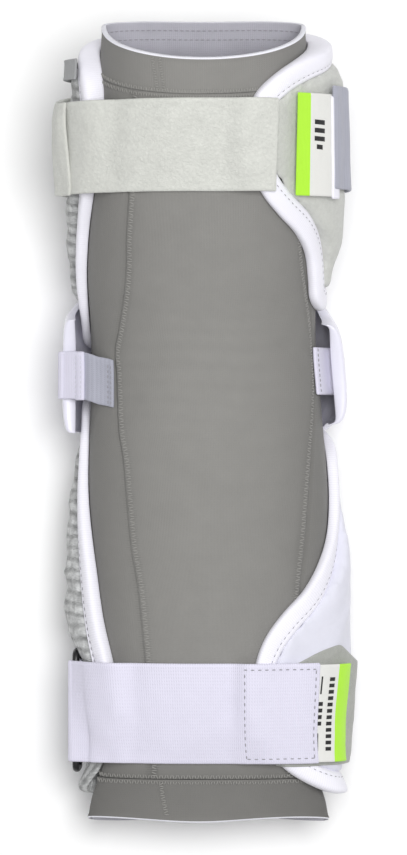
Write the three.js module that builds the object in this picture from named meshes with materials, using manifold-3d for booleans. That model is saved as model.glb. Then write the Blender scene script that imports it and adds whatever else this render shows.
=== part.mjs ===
// Padded arm guard for field sports: an open stretch sleeve with two quilted pads on the
// back of the arm, a plastic elbow cap on elastic tabs, and a strap round each pad.
// It lies on the elbow cap and the forearm pad, with the inner side of the arm upwards.
// Millimetres, +Z up, +Y from the elbow to the bicep end, origin under the elbow cap.
import * as THREE from "three";
import { mergeVertices } from "three/addons/utils/BufferGeometryUtils.js";
import Module from "manifold-3d";

const wasm = await Module();
wasm.setup();

// Driving sizes. Lengths are in millimetres and angles in degrees. Angles round the arm
// are 0 at the back of the elbow, 180 at the inner side, and positive on the +X side.
const FIT = 0.3; // clearance between pieces that touch
const SEAT = 0.9; // a piece wrapped on the sleeve stands this far off its faceted wall

const SLEEVE = {
  forearm: 211, // elbow to wrist end, along the arm
  upper: 169.5, // elbow to bicep end, along the arm
  width: 107, // across the elbow
  depth: 80, // front to back at the elbow
  wall: 1.8,
  squareness: 2.3, // exponent of the oval section
  flatness: 0.7, // sections flatter than this get evenly spread points
  height: 55, // axis above the surface at the elbow
  forearmRise: 2.5, // slope of the forearm axis
  bicepRise: 20, // slope of the bicep axis
  bendFrom: -20, // the elbow bend, along the arm
  bendTo: 50,
  bicepCuff: 21, // height of the sewn cuff at the bicep end
  forearmCuff: 20.5, // height of the sewn cuff at the wrist end
  rimDip: 4, // the bicep rim is cut lower at the inner side
  sides: 32, // facets round the arm
  frontSides: 11, // facets across the front panel, between the two seams
  backSides: 21, // facets across the back panel
  rows: 19, // rows along the arm
};

// Seams that join the sleeve's front and back panels. along is a share as in SECTIONS,
// left and right are angles.
const SEAMS = [
  { along: -1.0, left: -139, right: 121 },
  { along: -0.5, left: -134, right: 121 },
  { along: -0.27, left: -129, right: 118 },
  { along: -0.05, left: -123, right: 106.5 },
  { along: 0.1, left: -122, right: 104.5 },
  { along: 0.27, left: -129, right: 109.5 },
  { along: 0.45, left: -131, right: 114 },
  { along: 1.0, left: -134, right: 117 },
];

// Oval sections of the sleeve. along: share of the forearm (negative) or upper length.
// half, side: half width and sideways shift as shares of the width.
// front, back: height above and depth below the axis as shares of the depth.
const SECTIONS = [
  { along: -1.0, half: 0.535, side: 0.015, front: 0.085, back: 0.085 },
  { along: -0.95, half: 0.515, side: 0.014, front: 0.14, back: 0.125 },
  { along: -0.88, half: 0.47, side: 0.012, front: 0.235, back: 0.215 },
  { along: -0.78, half: 0.455, side: 0.012, front: 0.33, back: 0.36 },
  { along: -0.64, half: 0.478, side: 0.014, front: 0.39, back: 0.425 },
  { along: -0.47, half: 0.51, side: 0.016, front: 0.42, back: 0.45 },
  { along: -0.28, half: 0.53, side: 0.016, front: 0.45, back: 0.48 },
  { along: -0.1, half: 0.512, side: 0.006, front: 0.465, back: 0.53 },
  { along: 0.09, half: 0.497, side: -0.006, front: 0.47, back: 0.53 },
  { along: 0.33, half: 0.5, side: -0.016, front: 0.475, back: 0.42 },
  { along: 0.64, half: 0.468, side: -0.01, front: 0.485, back: 0.3 },
  { along: 0.87, half: 0.45, side: -0.007, front: 0.5, back: 0.22 },
  { along: 1.0, half: 0.438, side: -0.006, front: 0.505, back: 0.185 },
];

const PAD = {
  thickness: 14, // of the quilted foam at its fullest
  edge: 4.6, // of the thin bound wings
  binding: 9.5, // width of the edge binding
  seat: 2, // lift of the foam's inner face off the sleeve
  flare: 5, // a pad keeps its curve and stands off the sleeve's end
  puff: 15, // degrees over which the foam rises behind the left binding
  wingFrom: 92, // the foam thins into the right wing between these angles
  wingTo: 117,
  endSlope: 14, // length over which the foam thins towards a pad's end
  sideFrom: { left: 35, right: 45 }, // the back's thickness turns into each side's from here
  sideTurn: 40, // over this angle
  channel: 17, // pitch of the sewn channels
  channelDepth: 1.9,
  channelFade: { from: 15, over: 45 }, // the channels fade out towards the right
  backEdge: 0.7, // bound edge at the back, as a share of the foam there
  topEdge: 0.8, // bound edge at the free end's right, as a share of the foam there
  edgeFrom: 60, // the bound edge turns from the back's height to a side's from this angle
  edgeTurn: 30, // over this angle
  topFrom: { angle: 98, over: 26 }, // the free end's bound edge thins into the wing
  freeFrom: { along: 0.85, over: 0.12 }, // the part of the right edge that joins the free end
  rows: 28,
  columns: 15,
};

// Outlines of the two pads, from the elbow end (along 0) to the free end (along 1),
// as shares of reach, which is the pad's length. Each side is a list of angle and along.
// thick: foam thickness as shares of the pad thickness at the left, the back and the right.
const BICEP_PAD = {
  flare: 0.3, // share of the pads' flare
  from: 8, // elbow end, along the arm
  reach: 154,
  left: [
    { angle: -78, along: 0.03 }, { angle: -90, along: 0.12 }, { angle: -96, along: 0.3 },
    { angle: -98, along: 0.42 }, { angle: -103, along: 0.55 }, { angle: -108, along: 0.7 },
    { angle: -111, along: 0.82 }, { angle: -107, along: 0.91 },
  ],
  free: [{ angle: -93, along: 0.965 }, { angle: -45, along: 0.995 }, { angle: 30, along: 1 }, { angle: 96, along: 1 }],
  right: [
    { angle: 109, along: 0.215 }, { angle: 110.5, along: 0.28 }, { angle: 113, along: 0.37 },
    { angle: 121, along: 0.45 }, { angle: 132, along: 0.52 }, { angle: 143, along: 0.6 },
    { angle: 151, along: 0.7 }, { angle: 153, along: 0.8 }, { angle: 149, along: 0.9 },
    { angle: 135, along: 0.965 }, { angle: 118, along: 0.995 },
  ],
  elbow: [{ angle: -60, along: 0 }, { angle: 0, along: 0 }, { angle: 44, along: 0.02 },
    { angle: 66, along: 0.115 }, { angle: 86, along: 0.15 }, { angle: 101, along: 0.168 }],
  thick: [
    { along: 0.0, left: 0.45, back: 0.5, right: 0.34, leftEdge: 0.3 },
    { along: 0.2, left: 0.55, back: 0.75, right: 0.34, leftEdge: 0.33 },
    { along: 0.29, left: 0.68, back: 0.95, right: 0.4, leftEdge: 0.34 },
    { along: 0.36, left: 0.76, back: 1.0, right: 0.72, leftEdge: 0.35 },
    { along: 0.46, left: 0.82, back: 1.0, right: 0.9, leftEdge: 0.36 },
    { along: 0.6, left: 0.87, back: 1.0, right: 1.02, leftEdge: 0.4 },
    { along: 0.8, left: 0.9, back: 1.0, right: 1.08, leftEdge: 0.58 },
    { along: 1.0, left: 0.82, back: 0.9, right: 0.95, leftEdge: 0.7 },
  ],
};

const FOREARM_PAD = {
  flare: 1,
  from: -8,
  reach: -191,
  left: [
    { angle: -80, along: 0.02 }, { angle: -91, along: 0.1 }, { angle: -94, along: 0.19 },
    { angle: -100, along: 0.3 }, { angle: -106, along: 0.43 }, { angle: -110, along: 0.56 },
    { angle: -116, along: 0.67 }, { angle: -118, along: 0.76 }, { angle: -110, along: 0.86 },
    { angle: -95, along: 0.945 },
  ],
  free: [{ angle: -80, along: 1 }, { angle: -30, along: 1 }, { angle: 30, along: 1 }, { angle: 84, along: 1 }],
  right: [
    { angle: 91, along: 0.165 }, { angle: 95, along: 0.25 }, { angle: 99, along: 0.33 },
    { angle: 109, along: 0.41 }, { angle: 120, along: 0.48 }, { angle: 133, along: 0.54 },
    { angle: 143, along: 0.605 }, { angle: 148, along: 0.68 }, { angle: 147, along: 0.79 },
    { angle: 139, along: 0.87 }, { angle: 123, along: 0.945 }, { angle: 104, along: 0.99 },
  ],
  elbow: [{ angle: -60, along: 0 }, { angle: 0, along: 0 }, { angle: 44, along: 0.01 },
    { angle: 63, along: 0.065 }, { angle: 80, along: 0.11 }],
  thick: [
    { along: 0.0, left: 0.45, back: 0.5, right: 0.34, leftEdge: 0.3 },
    { along: 0.18, left: 0.5, back: 0.9, right: 0.34, leftEdge: 0.3 },
    { along: 0.27, left: 0.78, back: 1.03, right: 0.4, leftEdge: 0.34 },
    { along: 0.4, left: 0.86, back: 1.05, right: 0.75, leftEdge: 0.38 },
    { along: 0.55, left: 0.95, back: 1.07, right: 0.98, leftEdge: 0.42 },
    { along: 0.6, left: 0.93, back: 1.09, right: 1.06, leftEdge: 0.42 },
    { along: 0.635, left: 0.62, back: 1.1, right: 1.14, leftEdge: 0.42 },
    { along: 0.72, left: 0.58, back: 1.06, right: 1.2, leftEdge: 0.4 },
    { along: 0.85, left: 0.58, back: 1.0, right: 1.2, leftEdge: 0.38 },
    { along: 0.93, left: 0.56, back: 0.9, right: 1.0, leftEdge: 0.36 },
    { along: 1.0, left: 0.5, back: 0.7, right: 0.6, leftEdge: 0.36 },
  ],
};

// Elbow cap: a moulded shell round the back of the elbow, open towards the inner side.
// half, middle: half length and middle of the rim along the arm at each side.
// stand, endStand: lift of the outer face off the sleeve at mid length and at the ends.
const CAP = {
  wall: 3,
  rim: 6.3, // thickness of the bar along each side
  reach: 97, // angle of the rim at both sides
  barTurn: 3.5, // angle from the rim to the middle of the bar
  barFrom: 9, // the wall thickens into the bar from this angle short of the rim
  barBlend: 4, // over this angle
  sideFrom: 50, // the back's sizes turn into each side's from this angle
  sideTurn: 32, // over this angle
  back: { half: 35, middle: 2, stand: 13.5, endStand: 9.8 },
  left: { half: 27.8, middle: 0.6, stand: 13.6, endStand: 9.4 },
  right: { half: 24.5, middle: 1.4, stand: 13, endStand: 4.9 },
  roundness: 3, // exponent of the outline seen from the front
  slot: { length: 27, height: 5, below: 6.5 }, // slot under each bar
  clear: 6, // the pads stay low within this distance of the cap's ends
  climb: 1.6, // slope of the pads beyond that distance
  rows: 10,
  columns: 22,
};

// Straps and tapes: width along the arm, and from, the place of the lower edge
const ELASTIC = { thickness: 1.5, width: 22.5, from: -11.4, slant: -4, grip: 6.1, hem: 10 }; // elbow tabs
const BAND = { thickness: 2.2, width: 42, from: 83.7, start: -55, end: 137 }; // bicep strap
const BULGE = { height: 2.4, from: -130, to: -60, over: 28 }; // the bicep strap stands off at the left
const PULL = { thickness: 1.6, width: 47, from: 85.6, start: 40, end: 107 }; // elastic of the bicep label
const WEB = { thickness: 1.6, width: 48, from: -183, start: 117, anchor: -50 }; // forearm strap
const BICEP_LABEL = { thickness: 0.9, width: 46.5, from: 82, start: 102, end: 127 };
const FOREARM_LABEL = { thickness: 0.9, width: 46.5, from: -182.5, start: 94, end: 122 };
const RING = { wire: 3.6, spare: 2.2, front: -94, back: -76, run: 8 }; // ring of the forearm strap

const rad = THREE.MathUtils.degToRad;
const clamp = THREE.MathUtils.clamp;
const lerp = THREE.MathUtils.lerp;
const ease = (x) => THREE.MathUtils.smoothstep(x, 0, 1);

// Value of a column at a place of a table, by smooth curves through its rows
function column(table, key, place, name) {
  const last = table.length - 1;
  const at = table.findIndex((row) => row[key] > place);
  const i = at < 0 ? last - 1 : clamp(at - 1, 0, last - 1);
  const slope = (k) => {
    const a = table[Math.max(k - 1, 0)];
    const b = table[Math.min(k + 1, last)];
    return (b[name] - a[name]) / (b[key] - a[key]);
  };
  const [p, q] = [table[i], table[i + 1]];
  const span = q[key] - p[key];
  const u = clamp((place - p[key]) / span, 0, 1);
  const h = u * u * (3 - 2 * u);
  return p[name] * (1 - h) + q[name] * h
    + slope(i) * span * u * (1 - u) * (1 - u) - slope(i + 1) * span * u * u * (1 - u);
}

// Slope of the arm's axis at a place along it
function rise(t) {
  const share = clamp((t - SLEEVE.bendFrom) / (SLEEVE.bendTo - SLEEVE.bendFrom), 0, 1);
  return rad(lerp(SLEEVE.forearmRise, SLEEVE.bicepRise, share));
}

// The arm's axis in the YZ plane: straight, an arc through the elbow, straight
function axisFromBend(t) {
  const [a, b] = [rise(SLEEVE.bendFrom), rise(SLEEVE.bendTo)];
  const radius = (SLEEVE.bendTo - SLEEVE.bendFrom) / (b - a);
  const before = Math.min(t - SLEEVE.bendFrom, 0);
  const after = Math.max(t - SLEEVE.bendTo, 0);
  const now = rise(t);
  return {
    y: before * Math.cos(a) + radius * (Math.sin(now) - Math.sin(a)) + after * Math.cos(b),
    z: before * Math.sin(a) + radius * (Math.cos(a) - Math.cos(now)) + after * Math.sin(b),
  };
}

const ELBOW = axisFromBend(0);

function axis(t) {
  const p = axisFromBend(t);
  return { y: p.y - ELBOW.y, z: p.z - ELBOW.z + SLEEVE.height };
}

function section(t) {
  const along = t / (t < 0 ? SLEEVE.forearm : SLEEVE.upper);
  const share = (name) => column(SECTIONS, "along", along, name);
  return {
    half: share("half") * SLEEVE.width,
    side: share("side") * SLEEVE.width,
    front: share("front") * SLEEVE.depth,
    back: share("back") * SLEEVE.depth,
  };
}

// Point of the arm's section, across and up from the axis, lifted off the sleeve
function onSection(t, angle, lift) {
  const { half, side, front, back } = section(t);
  const n = SLEEVE.squareness;
  const across = Math.sin(rad(angle));
  let up = -Math.cos(rad(angle));
  const high = up > 0 ? front : back;
  up *= Math.min(high / half / SLEEVE.flatness, 1);
  const r = ((Math.abs(across) / half) ** n + (Math.abs(up) / high) ** n) ** (-1 / n);
  const normal = new THREE.Vector2(
    Math.sign(across) * Math.abs(r * across) ** (n - 1) / half ** n,
    Math.sign(up) * Math.abs(r * up) ** (n - 1) / high ** n,
  ).normalize();
  return { across: side + r * across + lift * normal.x, up: r * up + lift * normal.y };
}

// A place on the arm: along it, round it and off the sleeve. Nothing sinks below the floor.
function wrap(t, angle, lift, floor = 0) {
  const { across, up } = onSection(t, angle, lift);
  const { y, z } = axis(t);
  const lean = rise(t);
  return new THREE.Vector3(
    across,
    y - Math.sin(lean) * up,
    Math.max(z + Math.cos(lean) * up, floor),
  );
}

// Place along the arm where a point keeps its y, as on a strap that isn't square to the axis
function levelTo(y, angle, lift) {
  let t = y;
  for (let pass = 0; pass < 12; pass += 1) t += y - wrap(t, angle, lift).y;
  return t;
}

// A closed solid from vertices and triangles, turned so that its faces point outwards
function solid(points, faces) {
  const volume = faces.reduce((sum, [a, b, c]) => {
    const cross = new THREE.Vector3().crossVectors(points[b], points[c]);
    return sum + points[a].dot(cross);
  }, 0);
  const geometry = new THREE.BufferGeometry().setFromPoints(points);
  geometry.setIndex(faces.flatMap(([a, b, c]) => (volume > 0 ? [a, b, c] : [a, c, b])));
  geometry.computeVertexNormals();
  return geometry;
}

// Closes two grids of the same size, such as the two faces of a cloth, into one solid.
// With round set, the columns run round a tube and only its two ends are closed.
function shell(outer, inner, round = false) {
  const rows = outer.length;
  const columns = outer[0].length;
  const points = [...outer.flat(), ...inner.flat()];
  const at = (face, r, c) => face * rows * columns + r * columns + (c % columns);
  const faces = [];
  const quad = (a, b, c, d) => {
    const short = points[a].distanceTo(points[c]) <= points[b].distanceTo(points[d]);
    faces.push(...(short ? [[a, b, c], [a, c, d]] : [[a, b, d], [b, c, d]]));
  };
  const last = round ? columns : columns - 1;
  for (let r = 0; r < rows - 1; r += 1) {
    for (let c = 0; c < last; c += 1) {
      quad(at(0, r, c), at(0, r, c + 1), at(0, r + 1, c + 1), at(0, r + 1, c));
      quad(at(1, r, c), at(1, r + 1, c), at(1, r + 1, c + 1), at(1, r, c + 1));
    }
  }
  for (let c = 0; c < last; c += 1) {
    quad(at(0, 0, c), at(1, 0, c), at(1, 0, c + 1), at(0, 0, c + 1));
    quad(at(0, rows - 1, c), at(0, rows - 1, c + 1), at(1, rows - 1, c + 1), at(1, rows - 1, c));
  }
  for (let r = 0; r < rows - 1 && !round; r += 1) {
    quad(at(0, r, 0), at(0, r + 1, 0), at(1, r + 1, 0), at(1, r, 0));
    quad(at(0, r, last), at(1, r, last), at(1, r + 1, last), at(0, r + 1, last));
  }
  return solid(points, faces);
}

// Cloth of even thickness on a grid of points through its middle
function ribbon(grid, thickness) {
  const rows = grid.length;
  const columns = grid[0].length;
  const face = (side) => grid.map((row, r) => row.map((point, c) => {
    const along = new THREE.Vector3().subVectors(
      grid[Math.min(r + 1, rows - 1)][c], grid[Math.max(r - 1, 0)][c]);
    const across = new THREE.Vector3().subVectors(
      row[Math.min(c + 1, columns - 1)], row[Math.max(c - 1, 0)]);
    const normal = along.cross(across).normalize();
    return point.clone().addScaledVector(normal, side * thickness / 2);
  }));
  return shell(face(1), face(-1));
}

// A ring of equal sections, closed on itself
function loop(sections) {
  const count = sections.length;
  const sides = sections[0].length;
  const faces = [];
  for (let i = 0; i < count; i += 1) {
    for (let k = 0; k < sides; k += 1) {
      const [a, b] = [i * sides, ((i + 1) % count) * sides];
      const next = (k + 1) % sides;
      faces.push([a + k, b + k, b + next], [a + k, b + next, a + next]);
    }
  }
  return solid(sections.flat(), faces);
}

const grid = (rows, columns, point) => Array.from({ length: rows + 1 }, (_, r) => (
  Array.from({ length: columns + 1 }, (__, c) => point(r / rows, c / columns))));

// Cap: lifts of its outer and inner faces at an angle, with share from -1 to 1 along it
function capSide(angle) {
  const side = angle < 0 ? CAP.left : CAP.right;
  const share = ease((Math.abs(angle) - CAP.sideFrom) / CAP.sideTurn);
  const mix = (name) => lerp(CAP.back[name], side[name], share);
  return { half: mix("half"), middle: mix("middle"), stand: mix("stand"), endStand: mix("endStand") };
}

function capLift(angle, share) {
  const { stand, endStand } = capSide(angle);
  const crown = (1 - Math.min(Math.abs(share), 1) ** CAP.roundness) ** (1 / CAP.roundness);
  const outer = lerp(endStand, stand, crown);
  const wall = lerp(CAP.wall, CAP.rim, ease((Math.abs(angle) - CAP.reach + CAP.barFrom) / CAP.barBlend));
  return { outer, inner: Math.max(outer - wall, SEAT) };
}

// Thickness of foam that fits under the cap at a place, or Infinity clear of it
function underCap(t, angle) {
  const { half, middle } = capSide(angle);
  const beyond = Math.abs(t - middle) - half;
  const room = capLift(angle, 1 + (beyond + CAP.clear) / half).inner - 2 * SEAT - FIT;
  const open = lerp(room, Math.max(room, PAD.edge), ease((beyond - FIT) / CAP.clear));
  return open + Math.max(beyond - CAP.clear, 0) * CAP.climb;
}

// Lowest height of a pad: the floor, or the inner face of the cap that lies on it
function padFloor(t, angle) {
  const { half, middle } = capSide(angle);
  return Math.abs(t - middle) - half < CAP.clear / 2 ? CAP.wall + SEAT : 0;
}

// Angle of a pad's left or right edge at a place along it
function edgeAngle(side, along) {
  const last = side.length - 1;
  const above = clamp(side.findIndex((row) => row.along > along), 1, last);
  const at = along > side[last].along ? last : above;
  const [p, q] = [side[at - 1], side[at]];
  return lerp(p.angle, q.angle, clamp((along - p.along) / (q.along - p.along), 0, 1));
}

// Height of a pad's bound edge at a place: low on the wings, high at the free end's back
function edgeHeight(pad, t, angle) {
  const along = clamp((t - pad.from) / pad.reach, 0, 1);
  const thick = (name) => column(pad.thick, "along", along, name) * PAD.thickness;
  const left = thick("leftEdge");
  const thinning = ease((angle - PAD.topFrom.angle) / PAD.topFrom.over);
  const top = lerp(thick("right") * PAD.topEdge, PAD.edge, thinning);
  const right = lerp(PAD.edge, top, ease((along - PAD.freeFrom.along) / PAD.freeFrom.over));
  const turned = ease((Math.abs(angle) - PAD.edgeFrom) / PAD.edgeTurn);
  const edge = lerp(thick("back") * PAD.backEdge, angle < 0 ? left : right, turned);
  return Math.min(edge, underCap(t, angle) - 2 * FIT);
}

// Lift of a pad's inner side off the sleeve: the free end keeps its curve and stands off
function padBase(pad, t) {
  return SEAT + PAD.flare * pad.flare * ease(((t - pad.from) / pad.reach - 0.9) / 0.1);
}

// Height of a pad above its inner side, 0 where there is no pad
function padHeight(pad, t, angle) {
  const along = (t - pad.from) / pad.reach;
  const left = edgeAngle(pad.left, along);
  const right = edgeAngle(pad.right, along);
  if (along < 0 || along > 1 || angle < left || angle > right) return 0;
  const thick = (name) => column(pad.thick, "along", along, name) * PAD.thickness;
  const toLeft = ease((-angle - PAD.sideFrom.left) / PAD.sideTurn);
  const toRight = ease((angle - PAD.sideFrom.right) / PAD.sideTurn);
  const full = lerp(lerp(thick("back"), thick("left"), toLeft), thick("right"), toRight);
  const bound = THREE.MathUtils.radToDeg(PAD.binding / (SLEEVE.width / 2));
  const rising = ease((angle - left - bound) / PAD.puff);
  const thinning = 1 - ease((angle - PAD.wingFrom) / (PAD.wingTo - PAD.wingFrom));
  const toEnd = (1 - along) * Math.abs(pad.reach) - PAD.binding;
  const shape = Math.min(rising, thinning) * ease(toEnd / PAD.endSlope + 0.25);
  const wave = (0.5 + 0.5 * Math.cos((2 * Math.PI * t) / PAD.channel)) ** 3;
  const fade = ease((angle - PAD.channelFade.from) / PAD.channelFade.over);
  const quilt = PAD.channelDepth * wave * shape * (1 - fade);
  const edge = edgeHeight(pad, t, angle);
  return Math.min(lerp(edge, Math.max(full, edge), shape) - quilt, underCap(t, angle));
}

// The closed outline of a pad on the unrolled sleeve, x round the arm and y along it
function padOutline(pad) {
  const flat = ({ angle, along }) => new THREE.Vector3(
    rad(angle) * SLEEVE.width / 2, pad.from + along * pad.reach, 0);
  const sides = [pad.left, pad.free, [...pad.right].reverse(), [...pad.elbow].reverse()];
  const corners = sides.map((side, i) => sides.slice(0, i).flat().length);
  const points = sides.flat().map(flat);
  const curve = new THREE.CatmullRomCurve3(points, true, "centripetal");
  return { curve, corners, count: points.length };
}

// Point on the outline, moved inwards by an inset, at a share of the closed curve
function inset(outline, share, distance, turn) {
  const p = outline.curve.getPoint(share % 1);
  const ahead = outline.curve.getPoint((share + 0.004) % 1);
  const behind = outline.curve.getPoint((share + 0.996) % 1);
  const way = ahead.sub(behind).normalize();
  return new THREE.Vector2(p.x + turn * way.y * distance, p.y - turn * way.x * distance);
}

const angleOf = (flat) => THREE.MathUtils.radToDeg(flat.x / (SLEEVE.width / 2));
const place = (flat, lift) => wrap(flat.y, angleOf(flat), lift, padFloor(flat.y, angleOf(flat)));

// Spaced shares of the outline between two of its points, evenly by x or y as weighted
function spaced(outline, from, to, steps, weight) {
  const last = 160;
  const fine = Array.from({ length: last + 1 }, (_, i) => lerp(from, to, i / last) / outline.count);
  const points = fine.map((share) => outline.curve.getPoint(((share % 1) + 1) % 1));
  const run = [0];
  for (let i = 1; i <= last; i += 1) {
    const step = new THREE.Vector3().subVectors(points[i], points[i - 1]);
    run.push(run[i - 1] + Math.hypot(step.x * weight.x, step.y * weight.y));
  }
  return Array.from({ length: steps + 1 }, (_, k) => {
    const want = (k / steps) * run[last];
    const i = clamp(run.findIndex((length) => length >= want), 1, last);
    return lerp(fine[i - 1], fine[i], (want - run[i - 1]) / (run[i] - run[i - 1]));
  });
}

// Foam body of a pad, between its bindings
function padCore(pad) {
  const outline = padOutline(pad);
  const turn = Math.sign(pad.reach);
  const [a, b, c, d] = outline.corners;
  const side = (from, to, count, weight) => spaced(outline, from, to, count, weight)
    .map((share) => inset(outline, share, PAD.binding + 2 * FIT, turn));
  const [level, across] = [{ x: 0.25, y: 1 }, { x: 1, y: 1 }];
  const left = side(a, b, PAD.rows, level);
  const top = side(b, c, PAD.columns, across);
  const right = side(c, d, PAD.rows, level).reverse();
  const bottom = side(d, outline.count, PAD.columns, across).reverse();
  const flat = (r, k) => {
    const [v, u] = [r / PAD.rows, k / PAD.columns];
    const p = new THREE.Vector2();
    p.addScaledVector(bottom[k], 1 - v).addScaledVector(top[k], v);
    p.addScaledVector(left[r], 1 - u).addScaledVector(right[r], u);
    p.addScaledVector(left[0], -(1 - u) * (1 - v)).addScaledVector(right[0], -u * (1 - v));
    return p.addScaledVector(left[PAD.rows], -(1 - u) * v).addScaledVector(right[PAD.rows], -u * v);
  };
  const face = (lift) => Array.from({ length: PAD.rows + 1 }, (_, r) => (
    Array.from({ length: PAD.columns + 1 }, (__, k) => {
      const p = flat(r, k);
      return place(p, lift(p));
    })));
  const upper = (p) => padBase(pad, p.y) + Math.max(padHeight(pad, p.y, angleOf(p)), PAD.edge * 0.7);
  return shell(face(upper), face((p) => padBase(pad, p.y) - SEAT + PAD.seat));
}

// Folded tape round the whole edge of a pad
function padBinding(pad, steps) {
  const outline = padOutline(pad);
  const turn = Math.sign(pad.reach);
  const profile = [
    { inset: 0, lift: 0.12 }, { inset: 0.06, lift: 0.66 }, { inset: 0.42, lift: 1 },
    { inset: 1, lift: 1 }, { inset: 1, lift: 0 }, { inset: 0.12, lift: 0 },
  ];
  const shares = spaced(outline, 0, outline.count, steps, { x: 1, y: 1 }).slice(0, -1);
  return loop(shares.map((share) => profile.map((row) => {
    const p = inset(outline, share, row.inset * PAD.binding, turn);
    return place(p, padBase(pad, p.y) + row.lift * edgeHeight(pad, p.y, angleOf(p)));
  })));
}

// Angle of a seam at a place along the sleeve
function seam(side, t) {
  return column(SEAMS, "along", t / (t < 0 ? SLEEVE.forearm : SLEEVE.upper), side);
}

// Panel of the sleeve between its cuffs, from one seam round to the other
function sleevePanel(sides, start, end) {
  const from = -SLEEVE.forearm + SLEEVE.forearmCuff + FIT;
  const to = SLEEVE.upper - SLEEVE.bicepCuff - FIT;
  const gap = THREE.MathUtils.radToDeg(FIT / SLEEVE.width);
  const face = (lift) => grid(SLEEVE.rows, sides, (v, u) => {
    const t = lerp(from, to, v);
    return wrap(t, lerp(start(t) + gap, end(t) - gap, u), lift);
  });
  return shell(face(0), face(-SLEEVE.wall));
}

// Cuff between two places, each a function of the angle
function sleeveWall(from, to, rows) {
  const face = (lift) => Array.from({ length: rows + 1 }, (_, r) => (
    Array.from({ length: SLEEVE.sides }, (__, k) => {
      const angle = (360 * k) / SLEEVE.sides - 180;
      return wrap(lerp(from(angle), to(angle), r / rows), angle, lift);
    })));
  return shell(face(0), face(-SLEEVE.wall), true);
}

// The bicep rim dips at the inner side and a little at the back
function bicepRim(angle) {
  const front = Math.max(-Math.cos(rad(angle)), 0) ** 1.5;
  const back = Math.max(Math.cos(rad(angle)), 0) ** 1.5;
  return SLEEVE.upper - SLEEVE.rimDip * (front + back / 2);
}

// Manifold solid from a geometry, and back
function toManifold(geometry) {
  const bare = geometry.clone();
  bare.deleteAttribute("normal");
  bare.deleteAttribute("uv");
  const merged = mergeVertices(bare, 1e-4);
  return new wasm.Manifold(new wasm.Mesh({
    numProp: 3,
    vertProperties: new Float32Array(merged.attributes.position.array),
    triVerts: new Uint32Array(merged.index.array),
  }));
}

function fromManifold(body) {
  const mesh = body.getMesh();
  const geometry = new THREE.BufferGeometry();
  geometry.setAttribute("position", new THREE.BufferAttribute(new Float32Array(mesh.vertProperties), 3));
  geometry.setIndex(Array.from(mesh.triVerts));
  geometry.computeVertexNormals();
  return geometry;
}

// Middle of the bar along one side of the cap, at a place y
function capBar(side, y = capSide(side * CAP.reach).middle) {
  const angle = side * (CAP.reach - CAP.barTurn);
  const lift = capLift(angle, 0).outer - CAP.rim / 2;
  return wrap(levelTo(y, angle, lift), angle, lift);
}

function elbowCap() {
  const angleAt = (u) => CAP.reach * Math.sign(u) * Math.abs(u) ** 0.85;
  const face = (name, floor) => grid(CAP.rows, CAP.columns, (v, u) => {
    const angle = angleAt(2 * u - 1);
    const { half, middle } = capSide(angle);
    const share = Math.sin((v - 0.5) * Math.PI);
    return wrap(middle + share * half, angle, capLift(angle, share)[name], floor);
  });
  let body = toManifold(shell(face("outer", 0), face("inner", CAP.wall)));
  for (const side of [-1, 1]) {
    const bar = capBar(side);
    const box = new THREE.BoxGeometry(4 * CAP.rim, CAP.slot.length, CAP.slot.height);
    box.translate(bar.x, bar.y, bar.z - CAP.slot.below - CAP.slot.height / 2 + CAP.rim / 2);
    body = body.subtract(toManifold(box));
  }
  return fromManifold(body);
}

// Places on part of a ring round a bar that runs along y, angles from +X towards +Z. centre
// gives the bar's middle at y. An exponent of 2 makes a circle, a high one a round square.
function arc(centre, half, from, to, steps, exponent = 2) {
  return Array.from({ length: steps + 1 }, (_, i) => {
    const angle = rad(lerp(from, to, i / steps));
    const [x, z] = [Math.cos(angle), Math.sin(angle)];
    const r = ((Math.abs(x) / half.x) ** exponent + (Math.abs(z) / half.z) ** exponent) ** (-1 / exponent);
    return { at: (y) => ({ x: centre(y).x + r * x, z: centre(y).z + r * z }) };
  });
}

const middleOf = (band) => band.from + band.width / 2;

// Cloth that lies round the arm through places, with level edges. A place is an angle and
// the lift of the cloth's underside, or a function from y to a point of the XZ plane.
function strap(band, places, rows = 3) {
  return ribbon(grid(rows, places.length - 1, (v, u) => {
    const { angle, lift, at } = places[Math.round(u * (places.length - 1))];
    const slant = (band.slant ?? 0) * u;
    const y = band.from + v * band.width + slant;
    if (at) return new THREE.Vector3(at(y).x, y, at(y).z);
    const middle = lift + band.thickness / 2;
    return wrap(levelTo(y, angle, middle), angle, middle);
  }), band.thickness);
}

const spread = (from, to, count) => Array.from({ length: count + 1 }, (_, i) => lerp(from, to, i / count));
const inner = (angle) => (angle > 180 ? angle - 360 : angle);

// Lift of a strap's underside over a pad, which bridges the pad's edges
function bridge(pad, band, angle) {
  const nearby = spread(-10, 10, 10).map((turn) => Math.max(...spread(0, 1, 8).map((v) => {
    const t = levelTo(band.from + v * band.width, inner(angle + turn), PAD.thickness / 2);
    return padBase(pad, t) + padHeight(pad, t, inner(angle + turn));
  })));
  return Math.max(...nearby) + 2 * FIT;
}

// Left elastic: out of the slot, round the bar and back onto itself at the hem
function elbowLoopLeft() {
  const bar = (y) => capBar(-1, y);
  const wide = CAP.rim / 2 + 2 * FIT + ELASTIC.thickness / 2;
  const angle = -CAP.reach - ELASTIC.hem;
  const lift = CAP.rim + FIT * 2;
  const hem = (drop) => (y) => {
    const p = wrap(levelTo(y, angle, lift), angle, lift);
    return { x: p.x, z: p.z - drop };
  };
  return strap({ ...ELASTIC, slant: 0 }, [
    { at: hem(ELASTIC.thickness + 2 * FIT) },
    ...arc(bar, { x: wide, z: ELASTIC.grip }, -35, -255, 13, 6),
    { at: hem(0) },
  ], 1);
}

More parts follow.
